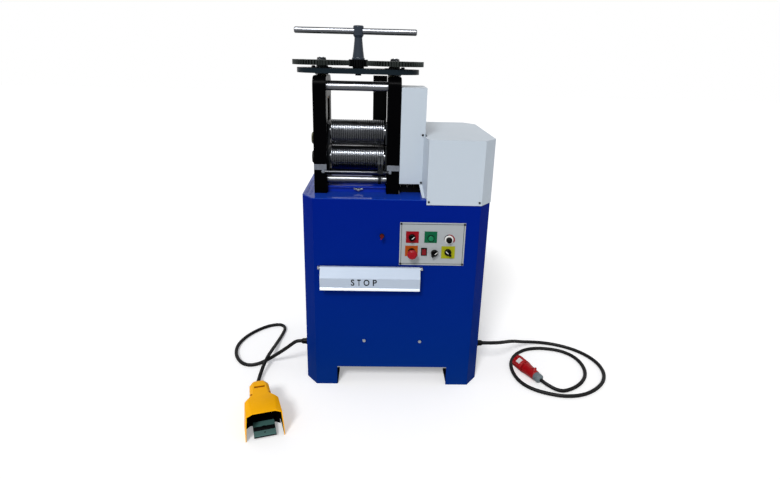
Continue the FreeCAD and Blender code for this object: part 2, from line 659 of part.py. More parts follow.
def screw_gear(x):
    width = GEAR_Z[1] - GEAR_Z[0]
    gear = spur_gear(GEAR_MODULE, GEAR_TEETH, width, 0.0, 4.0, 5.0, 0.4, SCREW_R)
    hub = ring(22, SCREW_R, 7, (0, 0, -7), (0, 0, 1))
    gear = gear.fuse(hub)
    gear.translate(Vector(x, MILL_Y, GEAR_Z[0]))
    return gear


def castle_nut(x):
    """Hexagon nut with six slots across its crown."""
    z = GEAR_Z[1]
    nut = hexagon(33, 9, (x, MILL_Y, z), (0, 0, 1))
    slots = []
    for k in range(3):
        slot = box(-22, 22, -2.5, 2.5, z + 5, z + 13)
        slot.Placement = Placement(Vector(x, MILL_Y, 0), Rotation(Vector(0, 0, 1), 60 * k))
        slots.append(slot)
    return nut.cut(compound([rod_z(z - 1, z + 13, x, MILL_Y, 12 + RUNNING)] + slots))


def bridge_plate():
    z0, z1 = BRIDGE_Z
    body = box(SCREW_X[0], SCREW_X[1], MILL_Y - BRIDGE_END_R, MILL_Y + BRIDGE_END_R, z0, z1)
    ends = [rod_z(z0, z1, x, MILL_Y, BRIDGE_END_R) for x in SCREW_X]
    plate = body.fuse(ends).removeSplitter()
    holes = [rod_z(z0 - 1, z1 + 1, x, MILL_Y, SCREW_R + RUNNING) for x in SCREW_X]
    holes.append(rod_z(z0 - 1, z1 + 1, MILL_X, MILL_Y, 9 + RUNNING))
    return plate.cut(compound(holes))


def thrust_flanges():
    return compound([ring(43, SCREW_R + RUNNING, 3, (x, MILL_Y, BRIDGE_Z[1]), (0, 0, 1))
                     for x in SCREW_X])


def flange_screws():
    screws = []
    for x, outward in zip(SCREW_X, (180, 0)):
        for k in range(3):
            a = math.radians(outward + 120 * k)
            at = (x + 34 * math.cos(a), MILL_Y + 34 * math.sin(a), BRIDGE_Z[1] + 3)
            screws.append(turned([(0, 8), (3, 8), (5, 6)], at))
    return compound(screws)


def pinion():
    """Pinion cut with its hub and the spindle that turns in the bridge plate."""
    gear = spur_gear(GEAR_MODULE, PINION_TEETH, GEAR_Z[1] - GEAR_Z[0] + 8, 180.0 / PINION_TEETH,
                     4.0, 5.0, 0.4, 8.0)
    gear.translate(Vector(MILL_X, MILL_Y, GEAR_Z[0] - 4))
    hub = turned([(BRIDGE_Z[0] - 8, 9), (BRIDGE_Z[1] + 0.5, 9), (BRIDGE_Z[1] + 0.5, 24),
                  (GEAR_Z[0] - 4, 24), (GEAR_Z[0] - 4, 12), (GEAR_Z[1] + 4, 12)], (MILL_X, MILL_Y, 0))
    return gear.fuse(hub)


def pinion_collar():
    return ring(12.5, 9, 8, (MILL_X, MILL_Y, BRIDGE_Z[0] - 8.5), (0, 0, 1))


def handle_column():
    z0 = GEAR_Z[1] + 4
    profile = [(z0, 27), (z0 + 5, 27), (z0 + 8, 24.3), (z0 + 40, 20), (1500, 16.5), (1508, 16),
               (1514, 19), (1517, 21.5), (HANDLE_TOP - 3, 21.5), (HANDLE_TOP, 18)]
    body = turned(profile, (MILL_X, MILL_Y, 0))
    return body.cut(rod_x(MILL_X - 30, MILL_X + 30, MILL_Y, TEE_BAR_Z, TEE_BAR_R + RUNNING))


def tee_bar():
    half = TEE_BAR_LENGTH / 2
    profile = [(-half, TEE_BAR_R - 3), (-half + 4, TEE_BAR_R), (half - 4, TEE_BAR_R), (half, TEE_BAR_R - 3)]
    return turned(profile, (MILL_X + TEE_BAR_OFFSET, MILL_Y, TEE_BAR_Z), (1, 0, 0))


def screw_down():
    left, right = SCREW_X
    return {"pressure_screw_left": pressure_screw(left), "pressure_screw_right": pressure_screw(right),
            "screw_gear_left": screw_gear(left), "screw_gear_right": screw_gear(right),
            "castle_nut_left": castle_nut(left), "castle_nut_right": castle_nut(right),
            "bridge_plate": bridge_plate(), "thrust_flanges": thrust_flanges(),
            "flange_screws": flange_screws(), "handle_pinion": pinion(),
            "pinion_collar": pinion_collar(), "handle_column": handle_column(), "tee_bar": tee_bar()}


# ---------------------------------------------------------------- drive and covers
def gearbox():
    """Hollow shaft worm gearbox on feet, its bore in line with the lower roll."""
    z = LOWER_ROLL_Z
    case = rod_x(GEARBOX_X[0] + 12, GEARBOX_X[1], MILL_Y, z, 92)
    neck = rod_x(GEARBOX_X[0], GEARBOX_X[0] + 14, MILL_Y, z, 40)
    foot = box(160, 310, MILL_Y - 100, MILL_Y + 100, CAB_HEIGHT, CAB_HEIGHT + 18)
    web = box(185, 285, MILL_Y - 70, MILL_Y + 70, CAB_HEIGHT, z)
    flange = rod_y(MILL_Y + 60, MILL_Y + 110, 235, z, 72)
    body = case.fuse([neck, foot, web, flange])
    return body.cut(rod_x(GEARBOX_X[0] - 1, GEARBOX_BORE_END + 2, MILL_Y, z, SHAFT_R + RUNNING))


def motor():
    """Finned motor behind the gearbox, with its fan cowl and terminal box."""
    y0, z = MILL_Y + 110, LOWER_ROLL_Z
    body = rod_y(y0, y0 + 200, 235, z, 66)
    fins = [box(-2, 2, y0 + 18, y0 + 182, -74, 74) for k in range(8)]
    for k, fin in enumerate(fins):
        fin.rotate(Vector(0, 0, 0), Vector(0, 1, 0), 22.5 * k)
        fin.translate(Vector(235, 0, z))
    cowl = turned([(0, 74), (55, 74), (68, 60)], (235, y0 + 200, z), (0, 1, 0))
    terminal = box(185, 285, y0 + 60, y0 + 140, z + 50, z + 100)
    return body.fuse(fins + [cowl, terminal])


def outboard_bearing():
    """Pedestal on the deck that carries the lower roll's shaft beyond its gear."""
    y, z = MILL_Y, LOWER_ROLL_Z
    base = box(16, 104, y - 84, y + 84, CAB_HEIGHT, CAB_HEIGHT + 22)
    upright = prism_x([(y - 60, CAB_HEIGHT), (y + 60, CAB_HEIGHT), (y + 40, z), (y - 40, z)], 78, 100)
    boss = rod_x(76, 102, y, z, 40)
    bolts = [hexagon(19, 9, (x, y + s * 72, CAB_HEIGHT + 22), (0, 0, 1)) for x in (32, 62) for s in (-1, 1)]
    body = base.fuse([upright, boss] + bolts)
    return body.cut(rod_x(70, 110, y, z, SHAFT_R + RUNNING))


def gear_cover():
    """Sheet cover over the roll gears, open at the bottom and towards the housing."""
    x0, x1, y0, y1, z0, z1 = GEAR_COVER
    t = COVER_SHEET
    cover = box(x0 + 0.5, x1, y0, y1, z0, z1)
    cover = cover.cut(box(x0 - 1, x1 - t, y0 + t, y1 - t, z0 - 1, z1 - t))
    cover = cover.cut(rod_x(x1 - t - 1, x1 + 1, MILL_Y, LOWER_ROLL_Z, SHAFT_OPENING_R))
    return drilled(cover, gear_cover_spots())


def gear_cover_spots():
    x1, y0 = GEAR_COVER[1], GEAR_COVER[2]
    return [((x, y0, z), (0, -1, 0)) for x, z in ((x1 - 11, 1136.0), (x1 - 11, 937.0))]


def motor_cover():
    """Folded box over gearbox and motor, its skirt outside the cabinet's top edge."""
    z0, z1 = MOTOR_COVER_Z
    t, gap = COVER_SHEET, 0.5
    right_half = box(MOTOR_COVER_X, 500, -50, 700, z0, z1)
    outer = cabinet_prism(t + gap, z0, z1).common(right_half)
    room = box(MOTOR_COVER_X + t, 500, -50, 700, z0 - 1, z1 - t)
    inner = cabinet_prism(gap, z0 - 1, z1 - t).common(room)
    under_deck = cabinet_prism(gap, z0 - 1, CAB_HEIGHT)
    shaft = rod_x(MOTOR_COVER_X - 1, MOTOR_COVER_X + t + 1, MILL_Y, LOWER_ROLL_Z, SHAFT_OPENING_R)
    cover = outer.cut(inner).cut(under_deck).cut(shaft).fuse(cover_corner())
    return drilled(cover, motor_cover_spots())


def cover_corner():
    """Slanted flange that closes the corner between the two covers, with a sloping foot."""
    x, y0, y1 = MOTOR_COVER_X, -COVER_SHEET - 0.5, GEAR_COVER[2] - 0.6
    z0, z1 = CAB_HEIGHT + 0.5, MOTOR_COVER_Z[1]
    far = x - 15.0
    flange = prism_z([(x, y0), (far, y1), (far + 2.6, y1), (x + 2.4, y0)], z0, z1)
    lid = prism_z([(x, y0), (far, y1), (x + 1, y1), (x + 1, y0)], z1 - COVER_SHEET, z1)
    foot = prism_x([(y1, 930), (31, z0), (34.5, z0), (y1, 926.5)], 90, x)
    foot = foot.common(prism_z([(x - 27, y1), (x - 16, 31), (x - 5, 31), (far + 1, y1)], z0, 935))
    return [flange, lid, foot]


def motor_cover_spots():
    grow = COVER_SHEET + 0.5
    front = [((x, -grow, 876), (0, -1, 0)) for x in (130, 340)]
    back = [((x, CAB_DEPTH + grow, 872), (0, 1, 0)) for x in (134, 338)]
    return front + back + [((CAB_HALF_WIDTH + grow, y, 872), (1, 0, 0)) for y in (110, 520)]


def drive_and_covers():
    return {"gearbox": gearbox(), "motor": motor(), "outboard_bearing": outboard_bearing(),
            "gear_cover": gear_cover(), "gear_cover_screws": cover_screws(gear_cover_spots()),
            "motor_cover": motor_cover(), "motor_cover_screws": cover_screws(motor_cover_spots())}


# ---------------------------------------------------------------- controls
def panel_plate():
    x0, x1, z0, z1 = PANEL
    plate = box(x0, x1, -PANEL_T, 0, z0, z1)
    holes = [rod_y(-PANEL_T - 1, 1, x, z, CONTROL_HOLE_R)
             for x, z in (RED_SELECTOR, GREEN_BUTTON, EMERGENCY, BLACK_SELECTOR, YELLOW_SELECTOR)]
    holes.append(rod_y(-PANEL_T - 1, 1, SPEED_DIAL[0], SPEED_DIAL[1], 4))
    x, z = ROCKER
    holes.append(box(x - 10.5, x + 10.5, -PANEL_T - 1, 1, z - 15.2, z + 15.2))
    return drilled(plate.cut(compound(holes)), panel_spots())


def panel_spots():
    x0, x1, z0, z1 = PANEL
    return [((x, -PANEL_T, z), (0, -1, 0)) for x in (x0 + 5.5, x1 - 5.5) for z in (z0 + 6, z1 - 6)]


def legend(centre, width, height, hole):
    """Coloured plate under a control."""
    x, z = centre
    plate = box(x - width / 2, x + width / 2, -PANEL_T - 1.5, -PANEL_T, z - height / 2, z + height / 2)
    return plate.cut(rod_y(-PANEL_T - 2, 0, hole[0], hole[1], CONTROL_HOLE_R))


def bezel(centre):
    x, z = centre
    return ring(14.7, 11.3, 4, (x, CONTROL_FACE, z), (0, -1, 0))


def selector_knob(centre, angle, reach):
    """Round skirt with a raised wing of half length reach, turned clockwise from upright."""
    skirt = turned([(0, 11.0), (4, 11.0), (4, 13.5), (9, 13.5), (10, 12.5)], (0, 0, 0), (0, -1, 0))
    wing = box(-4.5, 4.5, -22, -9, -reach, reach)
    wing = wing.common(turned([(9, reach), (20, reach), (22, reach - 2)], (0, 0, 0), (0, -1, 0)))
    stem = rod_y(0, 12, 0, 0, 10.9)
    knob = skirt.fuse([wing, stem])
    knob.rotate(Vector(0, 0, 0), Vector(0, 1, 0), angle)
    knob.translate(Vector(centre[0], CONTROL_FACE, centre[1]))
    return knob


def green_button():
    x, z = GREEN_BUTTON
    return turned([(-14, 10.9), (8, 10.9), (9.5, 9.5)], (x, CONTROL_FACE, z), (0, -1, 0))


def emergency_parts():
    """Collar, plunger and mushroom head of the emergency stop."""
    x, z = EMERGENCY
    collar = ring(15.5, 8.1, 11, (x, CONTROL_FACE, z), (0, -1, 0))
    plunger = rod_y(CONTROL_FACE - 36, 8, x, z, 8.0)
    head = turned([(30, 14), (34, 20), (39, 21.2), (44, 20), (49, 15.5), (51, 9)],
                  (x, CONTROL_FACE, z), (0, -1, 0))
    head = head.cut(rod_y(CONTROL_FACE - 36.05, 0, x, z, 8.05))
    return {"estop_collar": collar, "estop_plunger": plunger, "estop_head": head}


def rocker_parts():
    """Bezel with its switch body, and the rocker tipped to its upper position."""
    x, z = ROCKER
    rim = box(x - 12.6, x + 12.6, -PANEL_T - 2, -PANEL_T, z - 17.5, z + 17.5)
    case = box(x - 10.4, x + 10.4, -PANEL_T, 26, z - 15, z + 15)
    hollow = box(x - 9.2, x + 9.2, -PANEL_T - 3, 8, z - 13.9, z + 13.9)
    pin_hole = rod_x(x - 10.4, x + 10.4, -PANEL_T, z, ROCKER_PIN_R + RUNNING)
    section = [(5, -11), (-5.6, -13), (-3.6, 0), (-5.6, 13), (5, 11)]
    rocker = prism_x(section, -8.9, 8.9).fuse(rod_x(-10.2, 10.2, 0, 0, ROCKER_PIN_R))
    rocker.rotate(Vector(0, 0, 0), Vector(1, 0, 0), ROCKER_TILT)
    rocker.translate(Vector(x, -PANEL_T, z))
    return {"rocker_bezel": rim.fuse(case).cut(hollow).cut(pin_hole), "rocker": rocker}


def speed_parts():
    """Scale plate, and the knob: a flat skirt with a fluted grip on one shaft."""
    x, z = SPEED_DIAL
    dial = ring(25, 4.2, 0.8, (x, -PANEL_T, z), (0, -1, 0))
    base = -PANEL_T - 1
    skirt = turned([(0, 18.5), (3.5, 18.5), (5, 17)], (x, base, z), (0, -1, 0))
    skirt = skirt.cut(rod_y(base - 6, base + 1, x, z, 3.0 + RUNNING))
    grip = turned([(5, 13), (6.5, 13), (7.5, 12.3), (16, 11.5), (17.5, 10)], (x, base, z), (0, -1, 0))
    grip = grip.fuse(rod_y(base - 6, 14, x, z, 3.0))
    notch = box(x - 0.8, x + 0.8, base - 18.5, base - 16.5, z, z + 13)
    return {"speed_dial_plate": dial, "speed_skirt": skirt, "speed_grip": grip.cut(notch)}


def key_lock_parts():
    x, z = KEY_LOCK
    rosette = ring(10.5, 7.05, 4, (x, 0, z), (0, -1, 0))
    barrel = ring(9.0, 7.05, 24, (x, 0, z), (0, 1, 0))
    plug = rod_y(-5, 20, x, z, 7.0)
    blade = box(-1.2, 1.2, -16, -5, -4, 4)
    bow = box(-1.6, 1.6, -34, -16, -10, 10).cut(rod_x(-5, 5, -28, 0, 3))
    bow = bow.common(rod_x(-5, 5, -25, 0, 11.5))
    key = blade.fuse(bow)
    key.rotate(Vector(0, 0, 0), Vector(0, 1, 0), 35)
    key.translate(Vector(x, 0, z))
    return {"key_lock": rosette.fuse(barrel), "lock_key": plug.fuse(key)}


def contact_blocks():
    spots = (RED_SELECTOR, GREEN_BUTTON, EMERGENCY, BLACK_SELECTOR, YELLOW_SELECTOR)
    return compound([box(x - 15, x + 15, 16, 52, z - 20, z + 20) for x, z in spots])


def controls():
    parts = {
        "control_panel": panel_plate(), "panel_screws": cover_screws(panel_spots()),
        "red_legend": legend((68, 723), 54, 51, RED_SELECTOR),
        "green_legend": legend((145.5, 724), 53, 50, GREEN_BUTTON),
        "orange_legend": legend((66, 661), 54, 47, EMERGENCY),
        "yellow_legend": legend((222, 657), 58, 55, YELLOW_SELECTOR),
        "control_bezels": compound([bezel(c) for c in (RED_SELECTOR, GREEN_BUTTON, YELLOW_SELECTOR)]
                                   + [bezel_on_plate(BLACK_SELECTOR)]),
        "red_selector": selector_knob(RED_SELECTOR, 45, 13),
        "black_selector": selector_knob(BLACK_SELECTOR, 45, 17),
        "yellow_selector": selector_knob(YELLOW_SELECTOR, -45, 17),
        "green_button": green_button(), "contact_blocks": contact_blocks()}
    parts.update(emergency_parts())
    parts.update(rocker_parts())
    parts.update(speed_parts())
    parts.update(key_lock_parts())
    return parts


def bezel_on_plate(centre):
    """Bezel of the control that has no legend plate under it."""
    x, z = centre
    return ring(14.7, 11.3, 5.5, (x, -PANEL_T, z), (0, -1, 0))


# ---------------------------------------------------------------- knee bar
def knee_bar():
    x0, x1 = STOP_X
    fold = prism_x(sheet_section(STOP_SECTION, STOP_T), x0, x1)
    cheek = STOP_SECTION + [(-9.0, 560.0)]
    hole_y, hole_z = STOP_PIVOT
    ends = [prism_x(cheek, x, x + STOP_T) for x in (x0, x1 - STOP_T)]
    bar = fold.fuse(ends)
    return bar.cut(rod_x(x0 - 1, x1 + 1, hole_y, hole_z, 3.0 + RUNNING))


def knee_bar_pivots():
    """Lugs on the cabinet front, each with a pin that the bar swings on."""
    y, z = STOP_PIVOT
    pivots = []
    for outer, inner, tip in ((STOP_X[0] - 11, STOP_X[0] - 2, STOP_X[0] + 8),
                              (STOP_X[1] + 11, STOP_X[1] + 2, STOP_X[1] - 8)):
        lug = box(min(outer, inner), max(outer, inner), -18, 0, z - 6, z + 6)
        pin = rod_x(min(outer, tip), max(outer, tip), y, z, 3.0)
        pivots.append(lug.fuse(pin))
    return compound(pivots)


def knee_bar_switch():
    body = box(-130, -90, -16, 0, 524, 556)
    roller = rod_x(-114, -106, -28, 548, 5)
    arm = box(-112, -108, -28, -14, 543, 553)
    return body.fuse([arm, roller])


def knee_bar_parts():
    return {"knee_bar": knee_bar(), "knee_bar_pivots": knee_bar_pivots(),
            "knee_bar_switch": knee_bar_switch()}


# ---------------------------------------------------------------- foot switch
def hood_level(height, corners, inset):
    """Closed outline at one height. The inside one is drawn in and open to the front."""
    points = [(half - inset, y - 0.6 * inset) for half, y in corners]
    if inset:
        points[0] = (corners[0][0] - inset - 0.05, -6.0)
        points[-1] = (corners[-1][0] - 0.6 * inset, corners[-1][1] - inset)
    around = [(-half, y) for half, y in points] + [(half, y) for half, y in reversed(points)]
    z = height - inset if height else -inset / 3.5
    return Part.makePolygon([Vector(x, y, z) for x, y in around + around[:1]])


def hood_solid(inset):
    return Part.makeLoft([hood_level(z, corners, inset) for z, corners in HOOD_PLANS], True, True)


def foot_hood():
    """Cast hood, open at the front and below: wide over the pedal, a narrow lobe behind."""
    slot = box(-21, 21, 181, 195, 100, 125)
    return hood_solid(0).cut(hood_solid(HOOD_T)).cut(slot)


def foot_base():
    """Base plate with ears for the pedal pin and the switch block at the back."""
    plan = [(-68, 78), (-68, 100), (-37, 134), (-35, 224), (-22, 238), (22, 238), (35, 224),
            (37, 134), (68, 100), (68, 78), (52, 92), (-52, 92)]
    plate = prism_z(plan, 0, 8)
    pivot_y, pivot_z = TREADLE_PIVOT
    ears = [box(s - 4, s + 4, pivot_y - 12, pivot_y + 12, 8, pivot_z + 10) for s in (-30, 30)]
    block = box(-26, 26, 172, 230, 8, 56)
    return plate.fuse(ears + [block]).cut(rod_x(-40, 40, pivot_y, pivot_z, 4))


def foot_pin():
    return rod_x(-33.9, 33.9, TREADLE_PIVOT[0], TREADLE_PIVOT[1], 4)


def treadle_z(y):
    """Height of the pedal plate's upper side."""
    return 12.4 + 0.14 * (y - 2)


def treadle():
    """Pedal plate that slopes down to its front lip, ribbed between the two pads."""
    half = TREADLE_HALF
    section = [(0, 9), (0, 12), (2, treadle_z(2)), (118, treadle_z(118)), (118, 23.5), (5, 9)]
    plate = prism_x(section, -half, half)
    ribs = [prism_x([(y, treadle_z(y) - 1), (y, treadle_z(y) + 3), (y + 1.6, treadle_z(y) + 3),
                     (y + 1.6, treadle_z(y) - 1)], -half + 3, half - 3) for y in (41, 44.3, 47.6)]
    pivot_y, pivot_z = TREADLE_PIVOT
    arms = [prism_x([(100, 23), (100, 26), (pivot_y, pivot_z + 8), (pivot_y + 6, pivot_z + 4),
                     (pivot_y + 6, pivot_z - 4), (pivot_y, pivot_z - 8)], s - 4, s + 4) for s in (-20, 20)]
    solid = plate.fuse(ribs + arms)
    return solid.cut(rod_x(-50, 50, pivot_y, pivot_z, 4 + RUNNING))


def treadle_pads():
    """Two rubber pads on the plate, a little inside its edges."""
    half = TREADLE_HALF - 0.8
    pads = []
    for y0, y1 in ((2.8, 39.5), (50.8, 80)):
        z0, z1 = treadle_z(y0), treadle_z(y1)
        pads.append(prism_x([(y0, z0), (y0 + 1, z0 + 3), (y1 - 1, z1 + 2.6), (y1, z1)], -half, half))
    return compound(pads)


def foot_gland():
    return turned([(0, 13), (6, 13), (7, 12), (18, 11), (21, 10), (22, 9.5)], (0, HOOD_REAR, 36), (0, 1, 0))


def foot_switch():
    parts = {"foot_base": foot_base(), "foot_hood": foot_hood(), "foot_pin": foot_pin(),
             "foot_treadle": treadle(), "treadle_pads": treadle_pads(), "foot_gland": foot_gland()}
    for shape in parts.values():
        shape.rotate(Vector(0, 0, 0), Vector(0, 0, 1), PEDAL_YAW)
        shape.translate(Vector(PEDAL_AT[0], PEDAL_AT[1], 0))
    return parts


# ---------------------------------------------------------------- cords
def cord_path(route):
    """Straight runs joined by tangent arcs, and the smallest arc radius on it."""
    points = [Vector(*p) for p in route]
    edges, start, radii = [], points[0], []
    for before, corner, after in zip(points, points[1:], points[2:]):
        back, ahead = before.sub(corner), after.sub(corner)
        shorter = min(back.Length, ahead.Length)
        turn = math.pi - back.getAngle(ahead)
        reach = 0.45 * shorter
        radii.append(reach / math.tan(turn / 2))
        first = corner.add(back.normalize().multiply(reach))
        last = corner.add(ahead.normalize().multiply(reach))
        bisector = back.add(ahead).normalize()
        centre_gap = math.hypot(reach, radii[-1])
        middle = corner.add(bisector.multiply(centre_gap - radii[-1]))
        edges.append(Part.LineSegment(start, first).toShape())
        edges.append(Part.Arc(first, middle, last).toShape())
        start = last
    edges.append(Part.LineSegment(start, points[-1]).toShape())
    return Part.Wire(edges), radii


def cord(name, route, radius):
    path, radii = cord_path(route)
    start, towards = Vector(*route[0]), Vector(*route[1]).sub(Vector(*route[0]))
    circle = Part.Wire(Part.makeCircle(radius, start, towards))
    tube = path.makePipeShell([circle], True, False)
    expected = math.pi * radius * radius * path.Length
    print("%s: length %.0f, smallest radius %.0f, volume ratio %.4f" %
          (name, path.Length, min(radii), tube.Volume / expected))
    print("   radii " + " ".join("%.0f" % r for r in radii))
    return tube


def gland(side):
    """Hexagon, dome nut and tapered sleeve on a side wall of the cabinet."""
    x = side * CAB_HALF_WIDTH
    body = turned([(0, 15), (8, 15), (9, 13.5), (24, 13), (27, 11), (GLAND_LENGTH, 10)],
                  (x, GLAND_Y, GLAND_Z), (side, 0, 0))
    return body.fuse(rod_x(min(x, x - side * 12), max(x, x - side * 12), GLAND_Y, GLAND_Z, 12))


def on_plug_axis(shape):
    start, tip = Vector(*PLUG_NUT_END), Vector(*PLUG_TIP)
    turn = Rotation(Vector(0, 0, 1), Vector(0, 0, 0), tip.sub(start), "ZXY")
    shape.Placement = Placement(start, turn)
    return shape


def plug():
    """Round industrial plug: cable nut, body, open shroud and five pins."""
    length = Vector(*PLUG_TIP).sub(Vector(*PLUG_NUT_END)).Length
    nut = on_plug_axis(turned([(0, 13), (6, 18), (8, 21), (34, 22)]))
    grip = turned([(34, 23), (40, 23), (70, 25), (92, 27), (104, 29), (112, 29)])
    lug = prism_y([(20, 44), (36, 44), (36, 50), (24, 66), (20, 66)], -7, 7)
    body = on_plug_axis(grip.fuse(lug))
    wall = turned([(112, 30), (length, 30)]).cut(rod_z(122, length + 1, 0, 0, 25.5))
    key = box(26, 32, -5, 5, 130, length)
    shroud = on_plug_axis(wall.fuse(key))
    pins = [rod_z(122, length - 14, 17 * math.cos(math.radians(72 * k + 90)),
                  17 * math.sin(math.radians(72 * k + 90)), 3.0) for k in range(5)]
    return {"plug_nut": nut, "plug_body": body, "plug_shroud": shroud,
            "plug_pins": on_plug_axis(compound(pins))}


def cords():
    parts = {"mains_gland": gland(1), "pedal_cord_gland": gland(-1),
             "mains_cord": cord("mains_cord", MAINS_CORD_ROUTE, MAINS_CORD_R),
             "pedal_cord": cord("pedal_cord", PEDAL_CORD_ROUTE, PEDAL_CORD_R)}
    parts.update(plug())
    return parts


# ---------------------------------------------------------------- the whole mill
NODES_OF_SEVERAL_PIECES = {
    "inner_frame": ("base_shelf", "bed_rails"),
    "cover_screws": ("rear_panel_screws", "gear_cover_screws", "motor_cover_screws", "panel_screws",
                     "front_bolts"),
    "electrical_units": ("inverter_box", "contact_blocks", "knee_bar_switch"),
    "tie_rods": ("upper_tie_rods", "lower_tie_rods"),
    "frame_bolts": ("tie_rod_screws", "housing_bolts"),
    "lubricators": ("oil_cups", "grease_cup", "roll_end_cap"),
    "lower_bearings": ("lower_bearing_blocks", "lower_bushes"),
    "upper_bearings": ("upper_bearing_blocks", "upper_bushes"),
    "guide_rest": ("rest_pads", "guide_lugs", "guide_rod", "tie_rod_collar", "exit_plate", "exit_bar",
                   "exit_screws"),
    "left_screw": ("pressure_screw_left", "castle_nut_left"),
    "right_screw": ("pressure_screw_right", "castle_nut_right"),
    "thrust_covers": ("thrust_flanges", "flange_screws"),
    "pinion": ("handle_pinion", "pinion_collar"),
    "legend_plates": ("red_legend", "green_legend", "orange_legend", "yellow_legend",
                      "speed_dial_plate"),
    "speed_knob": ("speed_skirt", "speed_grip"),
    "bezels": ("control_bezels", "estop_collar", "rocker_bezel"),
    "estop_button": ("estop_plunger", "estop_head"),
    "foot_frame": ("foot_base", "foot_pin", "foot_gland"),
    "foot_pedal": ("foot_treadle", "treadle_pads"),
    "cable_glands": ("mains_gland", "pedal_cord_gland"),
    "mains_plug": ("plug_nut", "plug_body", "plug_shroud", "plug_pins"),
}


def assemble():
    parts = {}
    for group in (cabinet(), mill_stand(), screw_down(), drive_and_covers(), controls(), knee_bar_parts(),
                  foot_switch(), cords()):
        parts.update(group)
    for node, members in NODES_OF_SEVERAL_PIECES.items():
        solids = [solid for name in members for solid in parts.pop(name).Solids]
        parts[node] = compound(solids)
    return parts


def floor_centre(parts):
    """Middle of the floor area of everything but the free cords and what is on them."""
    bounds = FreeCAD.BoundBox()
    for name, shape in parts.items():
        if name not in COUNTED_AS_CORD:
            bounds.add(shape.BoundBox)
    return Vector(bounds.Center.x, bounds.Center.y, 0)


def main():
    os.makedirs("parts", exist_ok=True)
    parts = assemble()
    origin = floor_centre(parts)
    print("nodes %d, origin moved by %.3f %.3f" % (len(parts), origin.x, origin.y))
    for name, shape in parts.items():
        shape.translate(origin * -1)
        shape.exportStep(os.path.join("parts", name + ".step"))


if __name__ == "__main__":
    main()
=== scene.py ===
import logging
import math
from dataclasses import dataclass
from enum import Enum
from typing import Callable, ClassVar, Sequence

import bpy
from mathutils import Matrix, Vector


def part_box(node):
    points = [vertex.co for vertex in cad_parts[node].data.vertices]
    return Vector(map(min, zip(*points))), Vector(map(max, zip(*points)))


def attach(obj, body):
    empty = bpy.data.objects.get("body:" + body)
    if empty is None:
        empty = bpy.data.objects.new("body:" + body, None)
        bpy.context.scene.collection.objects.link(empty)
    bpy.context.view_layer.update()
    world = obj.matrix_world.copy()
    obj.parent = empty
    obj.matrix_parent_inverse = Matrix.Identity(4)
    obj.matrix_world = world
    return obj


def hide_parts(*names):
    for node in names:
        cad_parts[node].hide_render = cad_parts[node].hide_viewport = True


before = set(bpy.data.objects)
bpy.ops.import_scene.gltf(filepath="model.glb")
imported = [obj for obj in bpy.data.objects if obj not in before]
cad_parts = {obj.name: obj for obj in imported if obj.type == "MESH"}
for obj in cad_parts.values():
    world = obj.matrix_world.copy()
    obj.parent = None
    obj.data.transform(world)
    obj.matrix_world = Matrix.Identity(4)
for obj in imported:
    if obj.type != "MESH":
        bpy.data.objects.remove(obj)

LOG = logging.getLogger("rolling_mill")
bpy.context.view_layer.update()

Point = tuple[float, float, float]
Piece = bpy.types.Object
Node = bpy.types.Node
Socket = bpy.types.NodeSocket
Tree = bpy.types.NodeTree


# ---------------------------------------------------------------- places and colours
MM = 1000.0  # millimetres in a metre
UP = Vector((0.0, 0.0, 1.0))
DOWN = Vector((0.0, 0.0, -1.0))
WHITE = (1.0, 1.0, 1.0, 1.0)
CABINET_HALF_WIDTH = 397.0
SHELL_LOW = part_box("cabinet_shell")[0]
SHIFT = Vector((SHELL_LOW[0] * MM + CABINET_HALF_WIDTH, SHELL_LOW[1] * MM, 0.0))


def at(x: float, y: float, z: float) -> Vector:
    """Turns a place on the mill into metres in the shared frame.

    Args:
        x: Millimetres to the right of the middle of the cabinet front.
        y: Millimetres behind the cabinet's front sheet.
        z: Millimetres above the floor.

    Returns:
        The point in metres.
    """
    return (Vector((x, y, z)) + SHIFT) / MM


def linear(colour: str) -> tuple[float, float, float, float]:
    """Turns an sRGB hex colour into linear light.

    Args:
        colour: Six hex digits after a hash sign.

    Returns:
        Red, green, blue and alpha.
    """
    parts = [int(colour[k:k + 2], 16) / 255.0 for k in (1, 3, 5)]
    light = [c / 12.92 if c <= 0.04045 else ((c + 0.055) / 1.055) ** 2.4 for c in parts]
    return (light[0], light[1], light[2], 1.0)


class Body(Enum):
    """The mill's frame and those of its moving groups that dressed pieces ride on."""

    FRAME = "mill_frame"
    LEFT_SCREW = "left_pressure_screw"
    RIGHT_SCREW = "right_pressure_screw"
    CARRIAGE = "upper_carriage"
    STOP_BAR = "stop_bar"
    RED_SELECTOR = "red_selector_knob"
    BLACK_SELECTOR = "black_selector_knob"
    YELLOW_SELECTOR = "yellow_selector_knob"
    SPEED = "speed_control"
    PEDAL = "pedal"


# ---------------------------------------------------------------- materials
MIX_FACTOR, MIX_FIRST, MIX_SECOND, MIX_RESULT = 0, 6, 7, 2  # a Mix node's sockets for colours
NOISE_LOW, NOISE_HIGH = 0.3, 0.7  # nearly all of a noise pattern lies between these
GLOSS_PATCHES = 9.0  # to a metre, so that gloss varies over about 110 mm
DUST_CLOUDS = 24.0  # to a metre, so that a cloud of dust is about 42 mm wide
LEAST_ROUGHNESS = 0.02
RELIEF_STRENGTH = 0.6
EDGE_SAMPLES = 4


